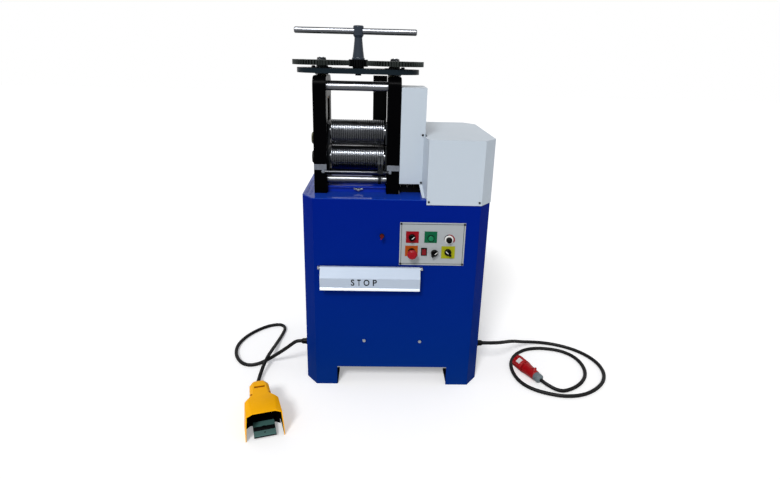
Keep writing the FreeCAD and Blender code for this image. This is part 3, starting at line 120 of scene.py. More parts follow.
def add_node(tree: Tree, kind: str, settings: dict | None = None, links: dict | None = None) -> Node:
    """Adds a shader node with its settings and links.

    Args:
        tree: The node tree of a material or of the world.
        kind: Blender's name for the node type.
        settings: Attribute names, or input names or numbers, with their values.
        links: Input names or numbers, with the output sockets that feed them.

    Returns:
        The new node.
    """
    node = tree.nodes.new(kind)
    for key, value in (settings or {}).items():
        if isinstance(key, str) and hasattr(node, key):
            setattr(node, key, value)
        else:
            node.inputs[key].default_value = value
    for key, source in (links or {}).items():
        tree.links.new(source, node.inputs[key])
    return node


@dataclass(frozen=True)
class Finish:
    """A surface: what it is made of and what its making left on it.

    Sizes are in millimetres. The grain is the size of the pattern that varies colour and
    height, and stretch makes it longer along an axis. Gloss varies in wider patches. The edge
    is the radius to which sharp corners look worn.
    """

    name: str
    colour: str
    second: str
    metallic: float = 0.0
    roughness: float = 0.4
    rough_spread: float = 0.08
    specular: float = 0.5
    grain: float = 2.0
    relief: float = 0.02
    stretch: Point = (1.0, 1.0, 1.0)
    edge: float = 0.8

    def make(self) -> bpy.types.Material:
        """Builds the material, or returns it if it was built before.

        Returns:
            The material of this finish.
        """
        known = bpy.data.materials.get(self.name)
        if known:
            return known
        material = bpy.data.materials.new(self.name)
        material.use_nodes = True
        tree = material.node_tree
        shader = tree.nodes["Principled BSDF"]
        shader.inputs["Metallic"].default_value = self.metallic
        shader.inputs["Specular IOR Level"].default_value = self.specular
        place = add_node(tree, "ShaderNodeTexCoord").outputs["Object"]
        scale = tuple(MM / (self.grain * s) for s in self.stretch)
        spread = add_node(tree, "ShaderNodeMapping", {"Scale": scale}, {"Vector": place}).outputs[0]
        grain = add_node(tree, "ShaderNodeTexNoise", {"Scale": 1.0, "Detail": 3.0}, {"Vector": spread})
        self.tint(tree, shader, place, grain.outputs["Fac"])
        gloss = {"From Min": NOISE_LOW, "From Max": NOISE_HIGH,
                 "To Min": max(self.roughness - self.rough_spread, LEAST_ROUGHNESS),
                 "To Max": self.roughness + self.rough_spread}
        patches = add_node(tree, "ShaderNodeTexNoise", {"Scale": GLOSS_PATCHES, "Detail": 4.0},
                           {"Vector": place})
        rough = add_node(tree, "ShaderNodeMapRange", gloss, {"Value": patches.outputs["Fac"]})
        tree.links.new(rough.outputs[0], shader.inputs["Roughness"])
        self.shape(tree, shader, grain.outputs["Fac"])
        return material

    def tint(self, tree: Tree, shader: Node, place: Socket, grain: Socket) -> None:
        """Lays the second colour over the first in the pattern of the grain.

        Args:
            tree: The material's node tree.
            shader: Its surface shader.
            place: Object coordinates in metres, for finishes that change over the mill.
            grain: The grain pattern, from 0 to 1.
        """
        colours = {"data_type": "RGBA", MIX_FIRST: linear(self.colour), MIX_SECOND: linear(self.second)}
        mix = add_node(tree, "ShaderNodeMix", colours, {MIX_FACTOR: grain})
        tree.links.new(mix.outputs[MIX_RESULT], shader.inputs["Base Color"])

    def shape(self, tree: Tree, shader: Node, grain: Socket) -> None:
        """Gives the surface its relief, over edges that are eased as real ones are.

        Args:
            tree: The material's node tree.
            shader: Its surface shader.
            grain: The grain pattern, from 0 to 1.
        """
        eased = add_node(tree, "ShaderNodeBevel", {"samples": EDGE_SAMPLES, "Radius": self.edge / MM})
        relief = {"Strength": RELIEF_STRENGTH, "Distance": self.relief / MM}
        bump = add_node(tree, "ShaderNodeBump", relief, {"Height": grain, "Normal": eased.outputs[0]})
        tree.links.new(bump.outputs[0], shader.inputs["Normal"])


@dataclass(frozen=True)
class PowderCoat(Finish):
    """Polyester powder baked on sheet steel: an even satin skin with faint orange peel."""

    roughness: float = 0.34
    specular: float = 0.05
    grain: float = 2.2
    relief: float = 0.03
    edge: float = 1.6


@dataclass(frozen=True)
class DustyShadedCoat(PowderCoat):
    """Powder coat on a cabinet that stands on a shop floor: dulled by dust towards its feet, and with
    painted shade that shifts its colour from foot to top.
    """

    # height over which the painted shade runs from the foot colour to the top colour
    height: float = 880.0
    dust: str = "#12306E"
    dust_height: float = 160.0
    dust_cover: float = 0.5

    def tint(self, tree: Tree, shader: Node, place: Socket, grain: Socket) -> None:
        """Lays dust over the lowest part of the coat and shifts the colour a little from foot to top, as
        painted shade.

        Args:
            tree: The material's node tree.
            shader: Its surface shader.
            place: Object coordinates in metres.
            grain: The grain pattern, which this coat's colour doesn't follow.
        """
        # Painted shade: the second colour at the floor blends into the first colour at the top.
        above = add_node(tree, "ShaderNodeSeparateXYZ", {}, {0: place}).outputs[2]
        rise = add_node(tree, "ShaderNodeMapRange", {"From Max": self.height / MM}, {"Value": above})
        colours = {"data_type": "RGBA", MIX_FIRST: linear(self.second), MIX_SECOND: linear(self.colour)}
        coat = add_node(tree, "ShaderNodeMix", colours, {MIX_FACTOR: rise.outputs[0]})
        cloud = add_node(tree, "ShaderNodeTexNoise", {"Scale": DUST_CLOUDS, "Detail": 6.0},
                         {"Vector": place})
        fade = {"From Min": self.dust_height / MM, "From Max": 0.0, "To Max": self.dust_cover}
        low = add_node(tree, "ShaderNodeMapRange", fade, {"Value": above})
        veil = add_node(tree, "ShaderNodeMath", {"operation": "MULTIPLY"},
                        {0: cloud.outputs["Fac"], 1: low.outputs[0]})
        mix = add_node(tree, "ShaderNodeMix", {"data_type": "RGBA", MIX_SECOND: linear(self.dust)},
                       {MIX_FACTOR: veil.outputs[0], MIX_FIRST: coat.outputs[MIX_RESULT]})
        tree.links.new(mix.outputs[MIX_RESULT], shader.inputs["Base Color"])


@dataclass(frozen=True)
class CastEnamel(Finish):
    """Enamel sprayed over fettled cast iron: glossy, with the casting's low swells.

    Near black, it also stands for painted shade on the pinion and on the exit table.
    """

    roughness: float = 0.24
    specular: float = 0.04
    grain: float = 6.0
    relief: float = 0.08
    edge: float = 1.2


@dataclass(frozen=True)
class TurnedSteel(Finish):
    """Steel turned in a lathe: rings round its axis draw a highlight out round the bar.

    The axis lies along X unless stretch says otherwise. Real rings are too fine to show, so they
    are drawn up to 1 mm apart.
    """

    metallic: float = 1.0
    roughness: float = 0.26
    grain: float = 1.0
    relief: float = 0.01
    stretch: Point = (1.0, 30.0, 30.0)
    edge: float = 0.5


@dataclass(frozen=True)
class MilledSteel(Finish):
    """Milled or sawn steel under a thin oxide or plating: grey, with soft mottling."""

    metallic: float = 0.9
    roughness: float = 0.42
    grain: float = 3.0
    relief: float = 0.03
    edge: float = 0.6


@dataclass(frozen=True)
class RolledZinc(Finish):
    """Zinc coated sheet, folded: pale and satin with long rolling lines along X.

    Real rolling lines are too fine to show, so they are drawn 2 mm apart.
    """

    metallic: float = 0.2
    roughness: float = 0.36
    specular: float = 0.25
    grain: float = 2.0
    relief: float = 0.01
    stretch: Point = (40.0, 1.0, 1.0)
    edge: float = 1.0


@dataclass(frozen=True)
class CopperAlloy(Finish):
    """Machined bronze or brass, browned a little by oil and handling."""

    metallic: float = 1.0
    roughness: float = 0.35
    grain: float = 5.0
    relief: float = 0.02
    edge: float = 0.6


@dataclass(frozen=True)
class MouldedPlastic(Finish):
    """Injection moulded plastic: one colour through, with a spark-eroded skin.

    The real skin's pits are too fine to show, so they are drawn 0.8 mm wide.
    """

    roughness: float = 0.36
    specular: float = 0.4
    grain: float = 0.8
    relief: float = 0.015
    edge: float = 0.7


@dataclass(frozen=True)
class CordJacket(Finish):
    """Extruded rubber jacket, or a moulded rubber pad: matt, with dust in its skin."""

    roughness: float = 0.55
    specular: float = 0.3
    grain: float = 1.5
    relief: float = 0.04
    edge: float = 0.2


class Skin(Enum):
    """Every finish on the mill, by the piece that wears it."""

    # Cabinet blue at the top; the second colour is the painted shade at the foot.
    CABINET = DustyShadedCoat("powder_coat_cabinet_blue", "#021B7E", "#022872", specular=0.006)
    # The deck's own blue, drawn lighter than the cabinet's same paint as painted light and reflection on
    # its upward face.
    DECK = PowderCoat("powder_coat_deck_blue", "#1238A0", "#103496", roughness=0.08, specular=0.05)
    TRAY = PowderCoat("powder_coat_tray_blue", "#0A2FA8", "#0A2A9C", roughness=0.2, specular=0.2)
    INSIDE = PowderCoat("powder_coat_inside_blue", "#01155F", "#011250")
    WHITE = PowderCoat("powder_coat_cover_white", "#BCC6D0", "#B6C1CC", specular=0.12, rough_spread=0.02)
    HOUSING = CastEnamel("cast_enamel_black", "#020203", "#040405", specular=0.006)
    BLACK_PLATE = CastEnamel("cast_enamel_plate", "#121C22", "#182229", roughness=0.3)
    COLUMN = CastEnamel("cast_enamel_column", "#232B36", "#2B3440", roughness=0.22, specular=0.2)
    POST = CastEnamel("satin_black_post", "#060708", "#0B0C0E", roughness=0.45, specular=0.06)
    IRON = MilledSteel("machined_block_iron", "#33363A", "#26292C", roughness=0.4)
    ROLL = TurnedSteel("ground_roll_steel", "#727478", "#5D5F63", roughness=0.24, relief=0.003,
                       grain=0.7)
    BAR = TurnedSteel("turned_bright_bar", "#686A6E", "#5B5D61", roughness=0.3, relief=0.002,
                      rough_spread=0.03)
    SCREW = TurnedSteel("turned_screw_steel", "#85878A", "#63666A", stretch=(20.0, 20.0, 1.0))
    PAD = MilledSteel("milled_bare_steel", "#7E838C", "#565B63", roughness=0.4, grain=7.0)
    # The exit table's dark steel, drawn near black and without reflection as painted shade in the gap
    # behind the rolls.
    TABLE = CastEnamel("table_plate_painted_shade", "#1C1D1F", "#151618", roughness=0.6, specular=0.0)
    GEAR = MilledSteel("blackened_gear_steel", "#2E3331", "#262A29")
    DARK = MilledSteel("black_oxide_steel", "#222427", "#191B1D", roughness=0.36)
    # The pinion drawn near black and non-metallic, as painted shade.
    SHADE_BLACK = CastEnamel("pinion_painted_shade_black", "#0C0D0F", "#08090A", roughness=0.3)
    ZINC = MilledSteel("zinc_plated_screw", "#B9BBBE", "#9C9EA1", roughness=0.28, metallic=1.0)
    KNEE = RolledZinc("zinc_sheet_knee_bar", "#B4C0D0", "#ABB7C7", metallic=0.05, specular=0.12,
                      roughness=0.45)
    # The tilted lip, in a paler zinc than the bar, as painted highlight along the bar's bottom edge.
    LIP = RolledZinc("zinc_sheet_lip_painted_highlight", "#E4EAF2", "#DCE3EC")
    BRONZE = CopperAlloy("machined_bronze", "#8A6A3A", "#6B5230")
    BRASS = CopperAlloy("turned_brass", "#B39A5A", "#8F7B45", roughness=0.28)
    OLIVE = CopperAlloy("oiled_brass_cup", "#4E4C30", "#383722", metallic=0.5)
    PANEL = MouldedPlastic("printed_panel_foil", "#A1A6A9", "#9BA0A3", roughness=0.34, specular=0.15,
                           edge=0.4)
    BORDER = MouldedPlastic("printed_border_line", "#1C1E22", "#181A1E", specular=0.1, edge=0.1)
    BLACK = MouldedPlastic("abs_black", "#030304", "#060607", specular=0.06)
    RED = MouldedPlastic("abs_red", "#960A18", "#8C0916", roughness=0.22, specular=0.15)
    LENS = MouldedPlastic("red_rocker", "#7C0714", "#6C0611", roughness=0.2, specular=0.2)
    KEY_BOW = MouldedPlastic("key_bow_red", "#6A1418", "#5C1114", specular=0.12)
    GREEN = MouldedPlastic("abs_green", "#0B774C", "#096A43", roughness=0.28, specular=0.15)
    GREEN_RIM = MouldedPlastic("abs_dark_green", "#0A3524", "#082C1E", specular=0.08)
    RED_LEGEND = MouldedPlastic("legend_red", "#8C0D18", "#840B16", specular=0.06, edge=0.3)
    GREEN_LEGEND = MouldedPlastic("legend_green", "#0B5B3B", "#0A5436", specular=0.06, edge=0.3)
    ORANGE_LEGEND = MouldedPlastic("legend_orange", "#A64B15", "#9E4612", specular=0.06, edge=0.3)
    YELLOW_LEGEND = MouldedPlastic("legend_yellow", "#9A9C1A", "#929417", specular=0.06, edge=0.3)
    WHITE_MARK = MouldedPlastic("pad_printed_white", "#D8D8D6", "#D0D0CE", specular=0.15, edge=0.1)
    GREY_DIAL = MouldedPlastic("dial_plate_grey", "#A4A9AC", "#9EA3A6", specular=0.1, edge=0.2)
    DIAL_GREY = MouldedPlastic("dial_arc_grey", "#2A2C31", "#26282D", specular=0.1, edge=0.1)
    HOOD = CastEnamel("hood_enamel_yellow", "#FFB602", "#F9B002", roughness=0.3, specular=0.06)
    # The hood's yellow enamel drawn darker, as painted shade in its window and screw holes.
    RECESS = CastEnamel("hood_enamel_painted_shade", "#944C04", "#8A4603", specular=0.02)
    PEDAL_RUBBER = CordJacket("pedal_rubber_green_grey", "#4A706B", "#406460", roughness=0.55)
    MOULDED_GREY = MouldedPlastic("polyamide_grey", "#6E787D", "#626C71", specular=0.15)
    PLUG_RED = MouldedPlastic("polyamide_plug_red", "#A00A10", "#92090E", roughness=0.3, specular=0.2)
    CORD = CordJacket("rubber_cord_black", "#0A0A0B", "#131314", specular=0.12)
    MACHINE_GREY = CastEnamel("machine_enamel_grey", "#56606A", "#4C565F", roughness=0.35)


Choice = tuple[str, Skin]


# ---------------------------------------------------------------- making pieces
SMOOTH_BELOW = math.radians(32.0)
SAME_PLACE = 1e-6
EASE_FACETS = 3
DISC_SIDES = 48


def only(piece: Piece) -> None:
    """Leaves one piece selected and active.

    Args:
        piece: The piece to work on.
    """
    bpy.ops.object.select_all(action="DESELECT")
    piece.select_set(True)
    bpy.context.view_layer.objects.active = piece


def settle(piece: Piece) -> None:
    """Moves a piece's place into its mesh, so that its object sits at the origin unturned.

    Args:
        piece: The piece to settle.
    """
    only(piece)
    bpy.ops.object.transform_apply(location=True, rotation=True, scale=True)


def dress(piece: Piece, skin: Skin, body: Body) -> Piece:
    """Gives a new piece its finish, in a material slot of its own, and its body.

    Args:
        piece: A finished piece.
        skin: What its surface is.
        body: The moving group that it belongs to.

    Returns:
        The same piece.
    """
    piece.data.materials.clear()
    piece.data.materials.append(skin.value.make())
    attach(piece, body.value)
    LOG.info("piece %s on %s", piece.name, body.value)
    return piece


def finish_nodes(nodes: dict[str, Skin]) -> None:
    """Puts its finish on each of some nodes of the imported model.

    Args:
        nodes: What the surface of each node is.
    """
    for node, skin in nodes.items():
        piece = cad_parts[node]
        material = skin.value.make()
        if not piece.material_slots:
            piece.data.materials.append(material)
        for slot in piece.material_slots:
            slot.material = material
        LOG.info("node %s wears %s", node, material.name)


def ease_edges(piece: Piece, width: float, angle: float = 30.0) -> None:
    """Rounds the sharp edges of a piece and shades what is round smooth.

    Args:
        piece: The piece to ease.
        width: Width of the rounding in millimetres.
        angle: Edges sharper than this many degrees are rounded.
    """
    only(piece)
    ease = piece.modifiers.new("ease", "BEVEL")
    ease.width = width / MM
    ease.segments = EASE_FACETS
    ease.limit_method = "ANGLE"
    ease.angle_limit = math.radians(angle)
    bpy.ops.object.modifier_apply(modifier=ease.name)
    bpy.ops.object.shade_smooth_by_angle(angle=SMOOTH_BELOW)


def middle(piece: Piece) -> Vector:
    """Gives the middle of a piece's box.

    Args:
        piece: A piece with its place in its mesh.

    Returns:
        The point in metres.
    """
    corners = [piece.matrix_world @ Vector(c) for c in piece.bound_box]
    return sum(corners, Vector()) / len(corners)


def loose_pieces(node: str) -> list[Piece]:
    """Copies a node of several solids and takes the copy apart.

    Args:
        node: The node's name.

    Returns:
        One object for each solid, sorted by place along X, then Z, to a tenth of a millimetre.
    """
    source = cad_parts[node]
    copy = bpy.data.objects.new(node + "_copy", source.data.copy())
    bpy.context.scene.collection.objects.link(copy)
    only(copy)
    bpy.ops.object.mode_set(mode="EDIT")
    bpy.ops.mesh.select_all(action="SELECT")
    bpy.ops.mesh.remove_doubles(threshold=SAME_PLACE)
    bpy.ops.mesh.separate(type="LOOSE")
    bpy.ops.object.mode_set(mode="OBJECT")
    found = list(bpy.context.selected_objects)
    for piece in found:
        only(piece)
        bpy.ops.object.shade_smooth_by_angle(angle=SMOOTH_BELOW)
    return sorted(found, key=lambda o: (round(middle(o).x, 4), round(middle(o).z, 4)))


def split_node(node: str, body: Body,
               choose: Callable[[Vector, Vector], Choice]) -> list[Piece]:
    """Takes a node of several solids apart and finishes each for what it is.

    Args:
        node: The node's name.
        body: The moving group that the node belongs to.
        choose: Gives name and finish for a solid's middle and size, in millimetres on the mill.

    Returns:
        The solids, finished.
    """
    pieces = loose_pieces(node)
    for piece in pieces:
        piece.name, skin = choose(middle(piece) * MM - SHIFT, Vector(piece.dimensions) * MM)
        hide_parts(node)
        dress(piece, skin, body)
    return pieces


def join(name: str, pieces: Sequence[Piece]) -> Piece:
    """Makes one piece out of several.

    Args:
        name: The new piece's name.
        pieces: What it is made of.

    Returns:
        The joined piece.
    """
    only(pieces[0])
    for piece in pieces:
        piece.select_set(True)
    bpy.ops.object.join()
    whole = bpy.context.object
    whole.name = name
    return whole


def disc(name: str, centre: Vector, radius: float, thickness: float, axis: Vector) -> Piece:
    """Adds a round plate.

    Args:
        name: The piece's name.
        centre: Its middle in metres.
        radius: Its radius in millimetres.
        thickness: Its thickness in millimetres.
        axis: The direction of its axis.

    Returns:
        The plate, settled.
    """
    bpy.ops.object.select_all(action="DESELECT")
    turn = UP.rotation_difference(axis).to_euler()
    bpy.ops.mesh.primitive_cylinder_add(vertices=DISC_SIDES, radius=radius / MM, depth=thickness / MM,
                                        location=centre, rotation=turn)
    plate = bpy.context.object
    plate.name = name
    settle(plate)
    return plate


def block(name: str, centre: Vector, size: Point, turn: Matrix | None = None) -> Piece:
    """Adds a rectangular blank for a small part.

    Args:
        name: The piece's name.
        centre: Its middle in metres.
        size: Its size in millimetres.
        turn: A rotation about its middle, or None.

    Returns:
        The blank, settled.
    """
    bpy.ops.object.select_all(action="DESELECT")
    bpy.ops.mesh.primitive_cube_add(size=1.0, location=centre)
    blank = bpy.context.object
    blank.name = name
    blank.scale = Vector(size) / MM
    if turn is not None:
        blank.rotation_euler = turn.to_euler()
    settle(blank)
    return blank


# ---------------------------------------------------------------- studio
@dataclass
class Studio:
    """Plain pale floor, even soft light and the camera.

    Places are in millimetres on the mill, sizes of floor and lamps in metres and angles in
    degrees.
    """

    eye: Point = (-82.0, -2120.0, 1437.0)
    pitch: float = -18.93
    yaw: float = 1.52
    roll: float = 1.42
    lens: float = 24.56
    film_width: float = 36.0
    farthest: float = 60.0
    floor_size: float = 40.0
    floor_grey: float = 0.86
    floor_glow: float = 0.3
    ambient: float = 0.5
    key_strength: float = 1.95
    key_spread: float = 13.0
    key_direction: Point = (0.15, 0.45, -0.40)
    strip_power: float = 115.0
    strip_size: tuple[float, float] = (2.0, 0.3)
    strip_place: Point = (-170.0, -1000.0, 2790.0)
    strip_aim: Point = (-170.0, 210.0, 1200.0)

    def build(self) -> None:
        """Builds floor, lights, world and camera."""
        bpy.context.scene.view_settings.view_transform = "Standard"
        self.floor()
        self.world()
        self.key()
        self.strip()
        self.camera()

    def floor(self) -> None:
        """Lays the pale floor, which keeps the mill's shadow."""
        bpy.ops.object.select_all(action="DESELECT")
        bpy.ops.mesh.primitive_plane_add(size=self.floor_size, location=(0, 0, 0))
        floor = bpy.context.object
        floor.name = "studio_floor"
        material = bpy.data.materials.new("pale_floor")
        material.use_nodes = True
        tree = material.node_tree
        tree.nodes.clear()
        grey = (self.floor_grey, self.floor_grey, self.floor_grey, 1.0)
        matt = add_node(tree, "ShaderNodeBsdfDiffuse", {"Color": grey})
        glow = add_node(tree, "ShaderNodeEmission", {"Color": WHITE, "Strength": self.floor_glow})
        path = add_node(tree, "ShaderNodeLightPath")
        none = add_node(tree, "ShaderNodeEmission", {"Strength": 0.0})
        seen = add_node(tree, "ShaderNodeMixShader", {}, {0: path.outputs["Is Camera Ray"],
                                                          1: none.outputs[0], 2: glow.outputs[0]})
        both = add_node(tree, "ShaderNodeAddShader", {}, {0: matt.outputs[0], 1: seen.outputs[0]})
        add_node(tree, "ShaderNodeOutputMaterial", {}, {0: both.outputs[0]})
        floor.data.materials.append(material)

    def world(self) -> None:
        """Surrounds the mill with white, dimmer where it only lights."""
        world = bpy.data.worlds.new("studio_world")
        bpy.context.scene.world = world
        world.use_nodes = True
        tree = world.node_tree
        tree.nodes.clear()
        path = add_node(tree, "ShaderNodeLightPath")
        first = add_node(tree, "ShaderNodeMath", {"operation": "MAXIMUM"},
                         {0: path.outputs["Is Camera Ray"], 1: path.outputs["Is Glossy Ray"]})
        seen = add_node(tree, "ShaderNodeMath", {"operation": "MAXIMUM"},
                        {0: first.outputs[0], 1: path.outputs["Is Transmission Ray"]})
        light = add_node(tree, "ShaderNodeBackground", {"Color": WHITE, "Strength": self.ambient})
        white = add_node(tree, "ShaderNodeBackground", {"Color": WHITE, "Strength": 1.0})
        mix = add_node(tree, "ShaderNodeMixShader", {}, {0: seen.outputs[0], 1: light.outputs[0],
                                                         2: white.outputs[0]})
        add_node(tree, "ShaderNodeOutputWorld", {}, {0: mix.outputs[0]})

    def hang(self, lamp: bpy.types.Light, direction: Vector) -> Piece:
        """Puts a lamp into the studio.

        Args:
            lamp: The lamp.
            direction: The way its light travels.

        Returns:
            The object that holds it.
        """
        holder = bpy.data.objects.new(lamp.name, lamp)
        holder.rotation_euler = DOWN.rotation_difference(direction).to_euler()
        bpy.context.scene.collection.objects.link(holder)
        return holder

    def key(self) -> None:
        """Adds a wide soft light that falls evenly from above the front, a little from the left."""
        lamp = bpy.data.lights.new("key_light", "SUN")
        lamp.energy = self.key_strength
        lamp.angle = math.radians(self.key_spread)
        self.hang(lamp, Vector(self.key_direction))

    def strip(self) -> None:
        """Hangs a long narrow lamp in front, which only draws highlights on what is polished."""
        lamp = bpy.data.lights.new("strip_light", "AREA")
        lamp.shape = "RECTANGLE"
        lamp.size, lamp.size_y = self.strip_size
        lamp.energy = self.strip_power
        place = at(*self.strip_place)
        holder = self.hang(lamp, at(*self.strip_aim) - place)
        holder.location = place
        holder.visible_diffuse = False

    def camera(self) -> None:
        """Sets the camera up in front of the mill, a little above its rolls."""
        pitch, yaw, roll = (math.radians(a) for a in (self.pitch, self.yaw, self.roll))
        ahead = Vector((math.sin(yaw) * math.cos(pitch), math.cos(yaw) * math.cos(pitch),
                        math.sin(pitch)))
        level = Vector((math.cos(yaw), -math.sin(yaw), 0.0))
        down = ahead.cross(level)
        right = math.cos(roll) * level - math.sin(roll) * down
        below = math.sin(roll) * level + math.cos(roll) * down
        data = bpy.data.cameras.new("camera")
        data.sensor_fit = "HORIZONTAL"
        data.sensor_width = self.film_width
        data.lens = self.lens
        data.clip_end = self.farthest
        camera = bpy.data.objects.new("camera", data)
        turn = Matrix((right, -below, -ahead)).transposed()
        camera.matrix_world = Matrix.Translation(at(*self.eye)) @ turn.to_4x4()
        bpy.context.scene.collection.objects.link(camera)
        bpy.context.scene.camera = camera


# ---------------------------------------------------------------- cords
@dataclass
class Cords:
    """The two free cords, each on one smooth line from its gland to its far end.

    Lengths of cord are in metres, all else is in millimetres. The plug's parts are told apart
    and its label is placed by their reach along it from plug_start.
    """

    plug_start: Point = (695.0, 4.0, 27.0)
    plug_tip: Point = (622.0, 162.0, 32.5)
    nut_reach: float = 25.0
    body_reach: float = 100.0
    longest_pin: float = 50.0
    label_reach: float = 142.0
    label_radius: float = 30.2
    label_width: float = 24.0
    label_thickness: float = 0.3
    label_facing: Point = (-0.35, -0.35, 0.87)
    label_sides: int = 72
    label_edge_cosine: float = 0.86
    pedal_radius: float = 8.5
    mains_radius: float = 8.5
    pedal_length: float = 1.565
    mains_length: float = 2.567
    facets_round: int = 5
    facets_along: int = 10
    pedal_route: Sequence[Point] = (
        (-428, 103, 163), (-446, 103, 163), (-464, 106, 152), (-500, 115, 118), (-550, 140, 70),
        (-602, 167, 22), (-646, 145, 9), (-691, 130, 9), (-736, 155, 9), (-776, 222, 9),
        (-792, 304, 9), (-779, 382, 9), (-745, 452, 9), (-700, 508, 9), (-655, 541, 9),
        (-604, 551, 9), (-575, 508, 9), (-580, 440, 9), (-589, 366, 12), (-596, 272, 25),
        (-602, 174, 42), (-610, 104, 36), (-616, 40, 18), (-614, -22, 16), (-605, -67, 25),
        (-594, -103.5, 36), (-587.3, -124.3, 36))
    mains_route: Sequence[Point] = (
        (428, 103, 163), (484, 104, 162), (544, 152, 140), (610, 238, 98), (678, 312, 52),
        (752, 372, 18), (830, 378, 9), (906, 350, 9), (980, 296, 9), (1030, 214, 9),
        (1040, 118, 9), (1008, 30, 9), (944, -40, 9), (864, -88, 9), (776, -98, 9),
        (704, -76, 9), (650, -47, 9), (612, -6, 9), (592, 45, 9), (585, 115, 9), (597, 186, 9),
        (634, 254, 9), (690, 302, 9), (752, 322, 9), (818, 320, 9), (888, 298, 9), (938, 244, 9),
        (954, 162, 9), (938, 78, 9), (890, 6, 9), (824, -44, 9), (766, -62, 10),
        (709.3, -26.9, 26), (695.5, 2.9, 27))

    def line(self, name: str, route: Sequence[Point], radius: float) -> Piece:
        """Lays one cord.

        Args:
            name: The piece's name.
            route: Its control points, in millimetres on the mill.
            radius: Its radius in millimetres.

        Returns:
            The cord as a curve.
        """
        data = bpy.data.curves.new(name, "CURVE")
        data.dimensions = "3D"
        data.bevel_depth = radius / MM
        data.bevel_resolution = self.facets_round
        data.resolution_u = self.facets_along
        data.use_fill_caps = True
        spline = data.splines.new("NURBS")
        spline.points.add(len(route) - 1)
        for point, place in zip(spline.points, route):
            point.co = (*at(*place), 1.0)
        spline.order_u = 3
        spline.use_endpoint_u = True
        spline.use_smooth = True
        cord = bpy.data.objects.new(name, data)
        bpy.context.scene.collection.objects.link(cord)
        return cord

    def build(self) -> None:
        """Lays both cords and says what they are."""
        plug = self.plug()
        mains = self.line("mains_cord_line", self.mains_route, self.mains_radius)
        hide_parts("mains_cord")
        dress(mains, Skin.CORD, Body.FRAME)
        pedal = self.line("pedal_cord_line", self.pedal_route, self.pedal_radius)
        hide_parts("pedal_cord")
        dress(pedal, Skin.CORD, Body.FRAME)
        finish_nodes({"cable_glands": Skin.BLACK})

    def plug(self) -> list[Piece]:
        """Takes the plug apart into nut, body, shroud and pins, each in its own finish.

        Returns:
            The pieces that lie on the mains cord.
        """
        return split_node("mains_plug", Body.FRAME, self.plug_part) + [self.plug_label()]

    def plug_part(self, place: Vector, size: Vector) -> Choice:
        """Tells the plug's solids apart.

        Args:
            place: A solid's middle.
            size: Its size.

        Returns:
            Its name and finish.
        """
        reach = (place - Vector(self.plug_start)).length
        if reach < self.nut_reach:
            return "plug_nut", Skin.MOULDED_GREY
        if max(size) < self.longest_pin:
            return "plug_pin", Skin.BRASS
        return ("plug_body" if reach < self.body_reach else "plug_shroud"), Skin.PLUG_RED

    def plug_label(self) -> Piece:
        """Sticks the blank white label on the shroud, bent round it.

        Returns:
            The label.
        """
        start, tip = at(*self.plug_start), at(*self.plug_tip)
        axis = (tip - start).normalized()
        bpy.ops.object.select_all(action="DESELECT")
        bpy.ops.mesh.primitive_cylinder_add(
            vertices=self.label_sides, radius=self.label_radius / MM, depth=self.label_width / MM,
            end_fill_type="NOTHING", location=start + axis * (self.label_reach / MM),
            rotation=UP.rotation_difference(axis).to_euler())
        label = bpy.context.object
        label.name = "plug_label"
        settle(label)
        facing = Vector(self.label_facing).normalized()
        bpy.ops.object.mode_set(mode="EDIT")
        bpy.ops.mesh.select_all(action="DESELECT")
        bpy.ops.object.mode_set(mode="OBJECT")
        for polygon in label.data.polygons:
            polygon.select = polygon.normal.dot(facing) < self.label_edge_cosine
        bpy.ops.object.mode_set(mode="EDIT")
        bpy.ops.mesh.delete(type="FACE")
        bpy.ops.object.mode_set(mode="OBJECT")
        sheet = label.modifiers.new("thickness", "SOLIDIFY")
        sheet.thickness = self.label_thickness / MM
        bpy.ops.object.modifier_apply(modifier=sheet.name)
        bpy.ops.object.shade_smooth_by_angle(angle=SMOOTH_BELOW)
        return dress(label, Skin.WHITE_MARK, Body.FRAME)


# ---------------------------------------------------------------- sub-assemblies
@dataclass
class Cabinet:
    """The floor cabinet with its deck and what is inside it."""

    NODES: ClassVar[dict[str, Skin]] = {
        "cabinet_shell": Skin.CABINET, "deck_plate": Skin.DECK, "inner_frame": Skin.INSIDE,
        "foot_plates": Skin.POST, "rear_panel": Skin.CABINET, "electrical_units": Skin.MACHINE_GREY,
        "drip_tray": Skin.TRAY, "tray_screw": Skin.ZINC}
    bolts_below: float = 300.0
    bolts_before: float = 10.0

    def build(self) -> None:
        """Finishes the cabinet's nodes, and its screws one by one."""
        finish_nodes(self.NODES)
        split_node("cover_screws", Body.FRAME, self.screw)

    def screw(self, place: Vector, size: Vector) -> Choice:
        """Tells the two bolts low on the front from the screws of covers and panels."""
        bolt = place.z < self.bolts_below and place.y < self.bolts_before
        return ("front_bolt", Skin.ZINC) if bolt else ("cover_screw", Skin.DARK)


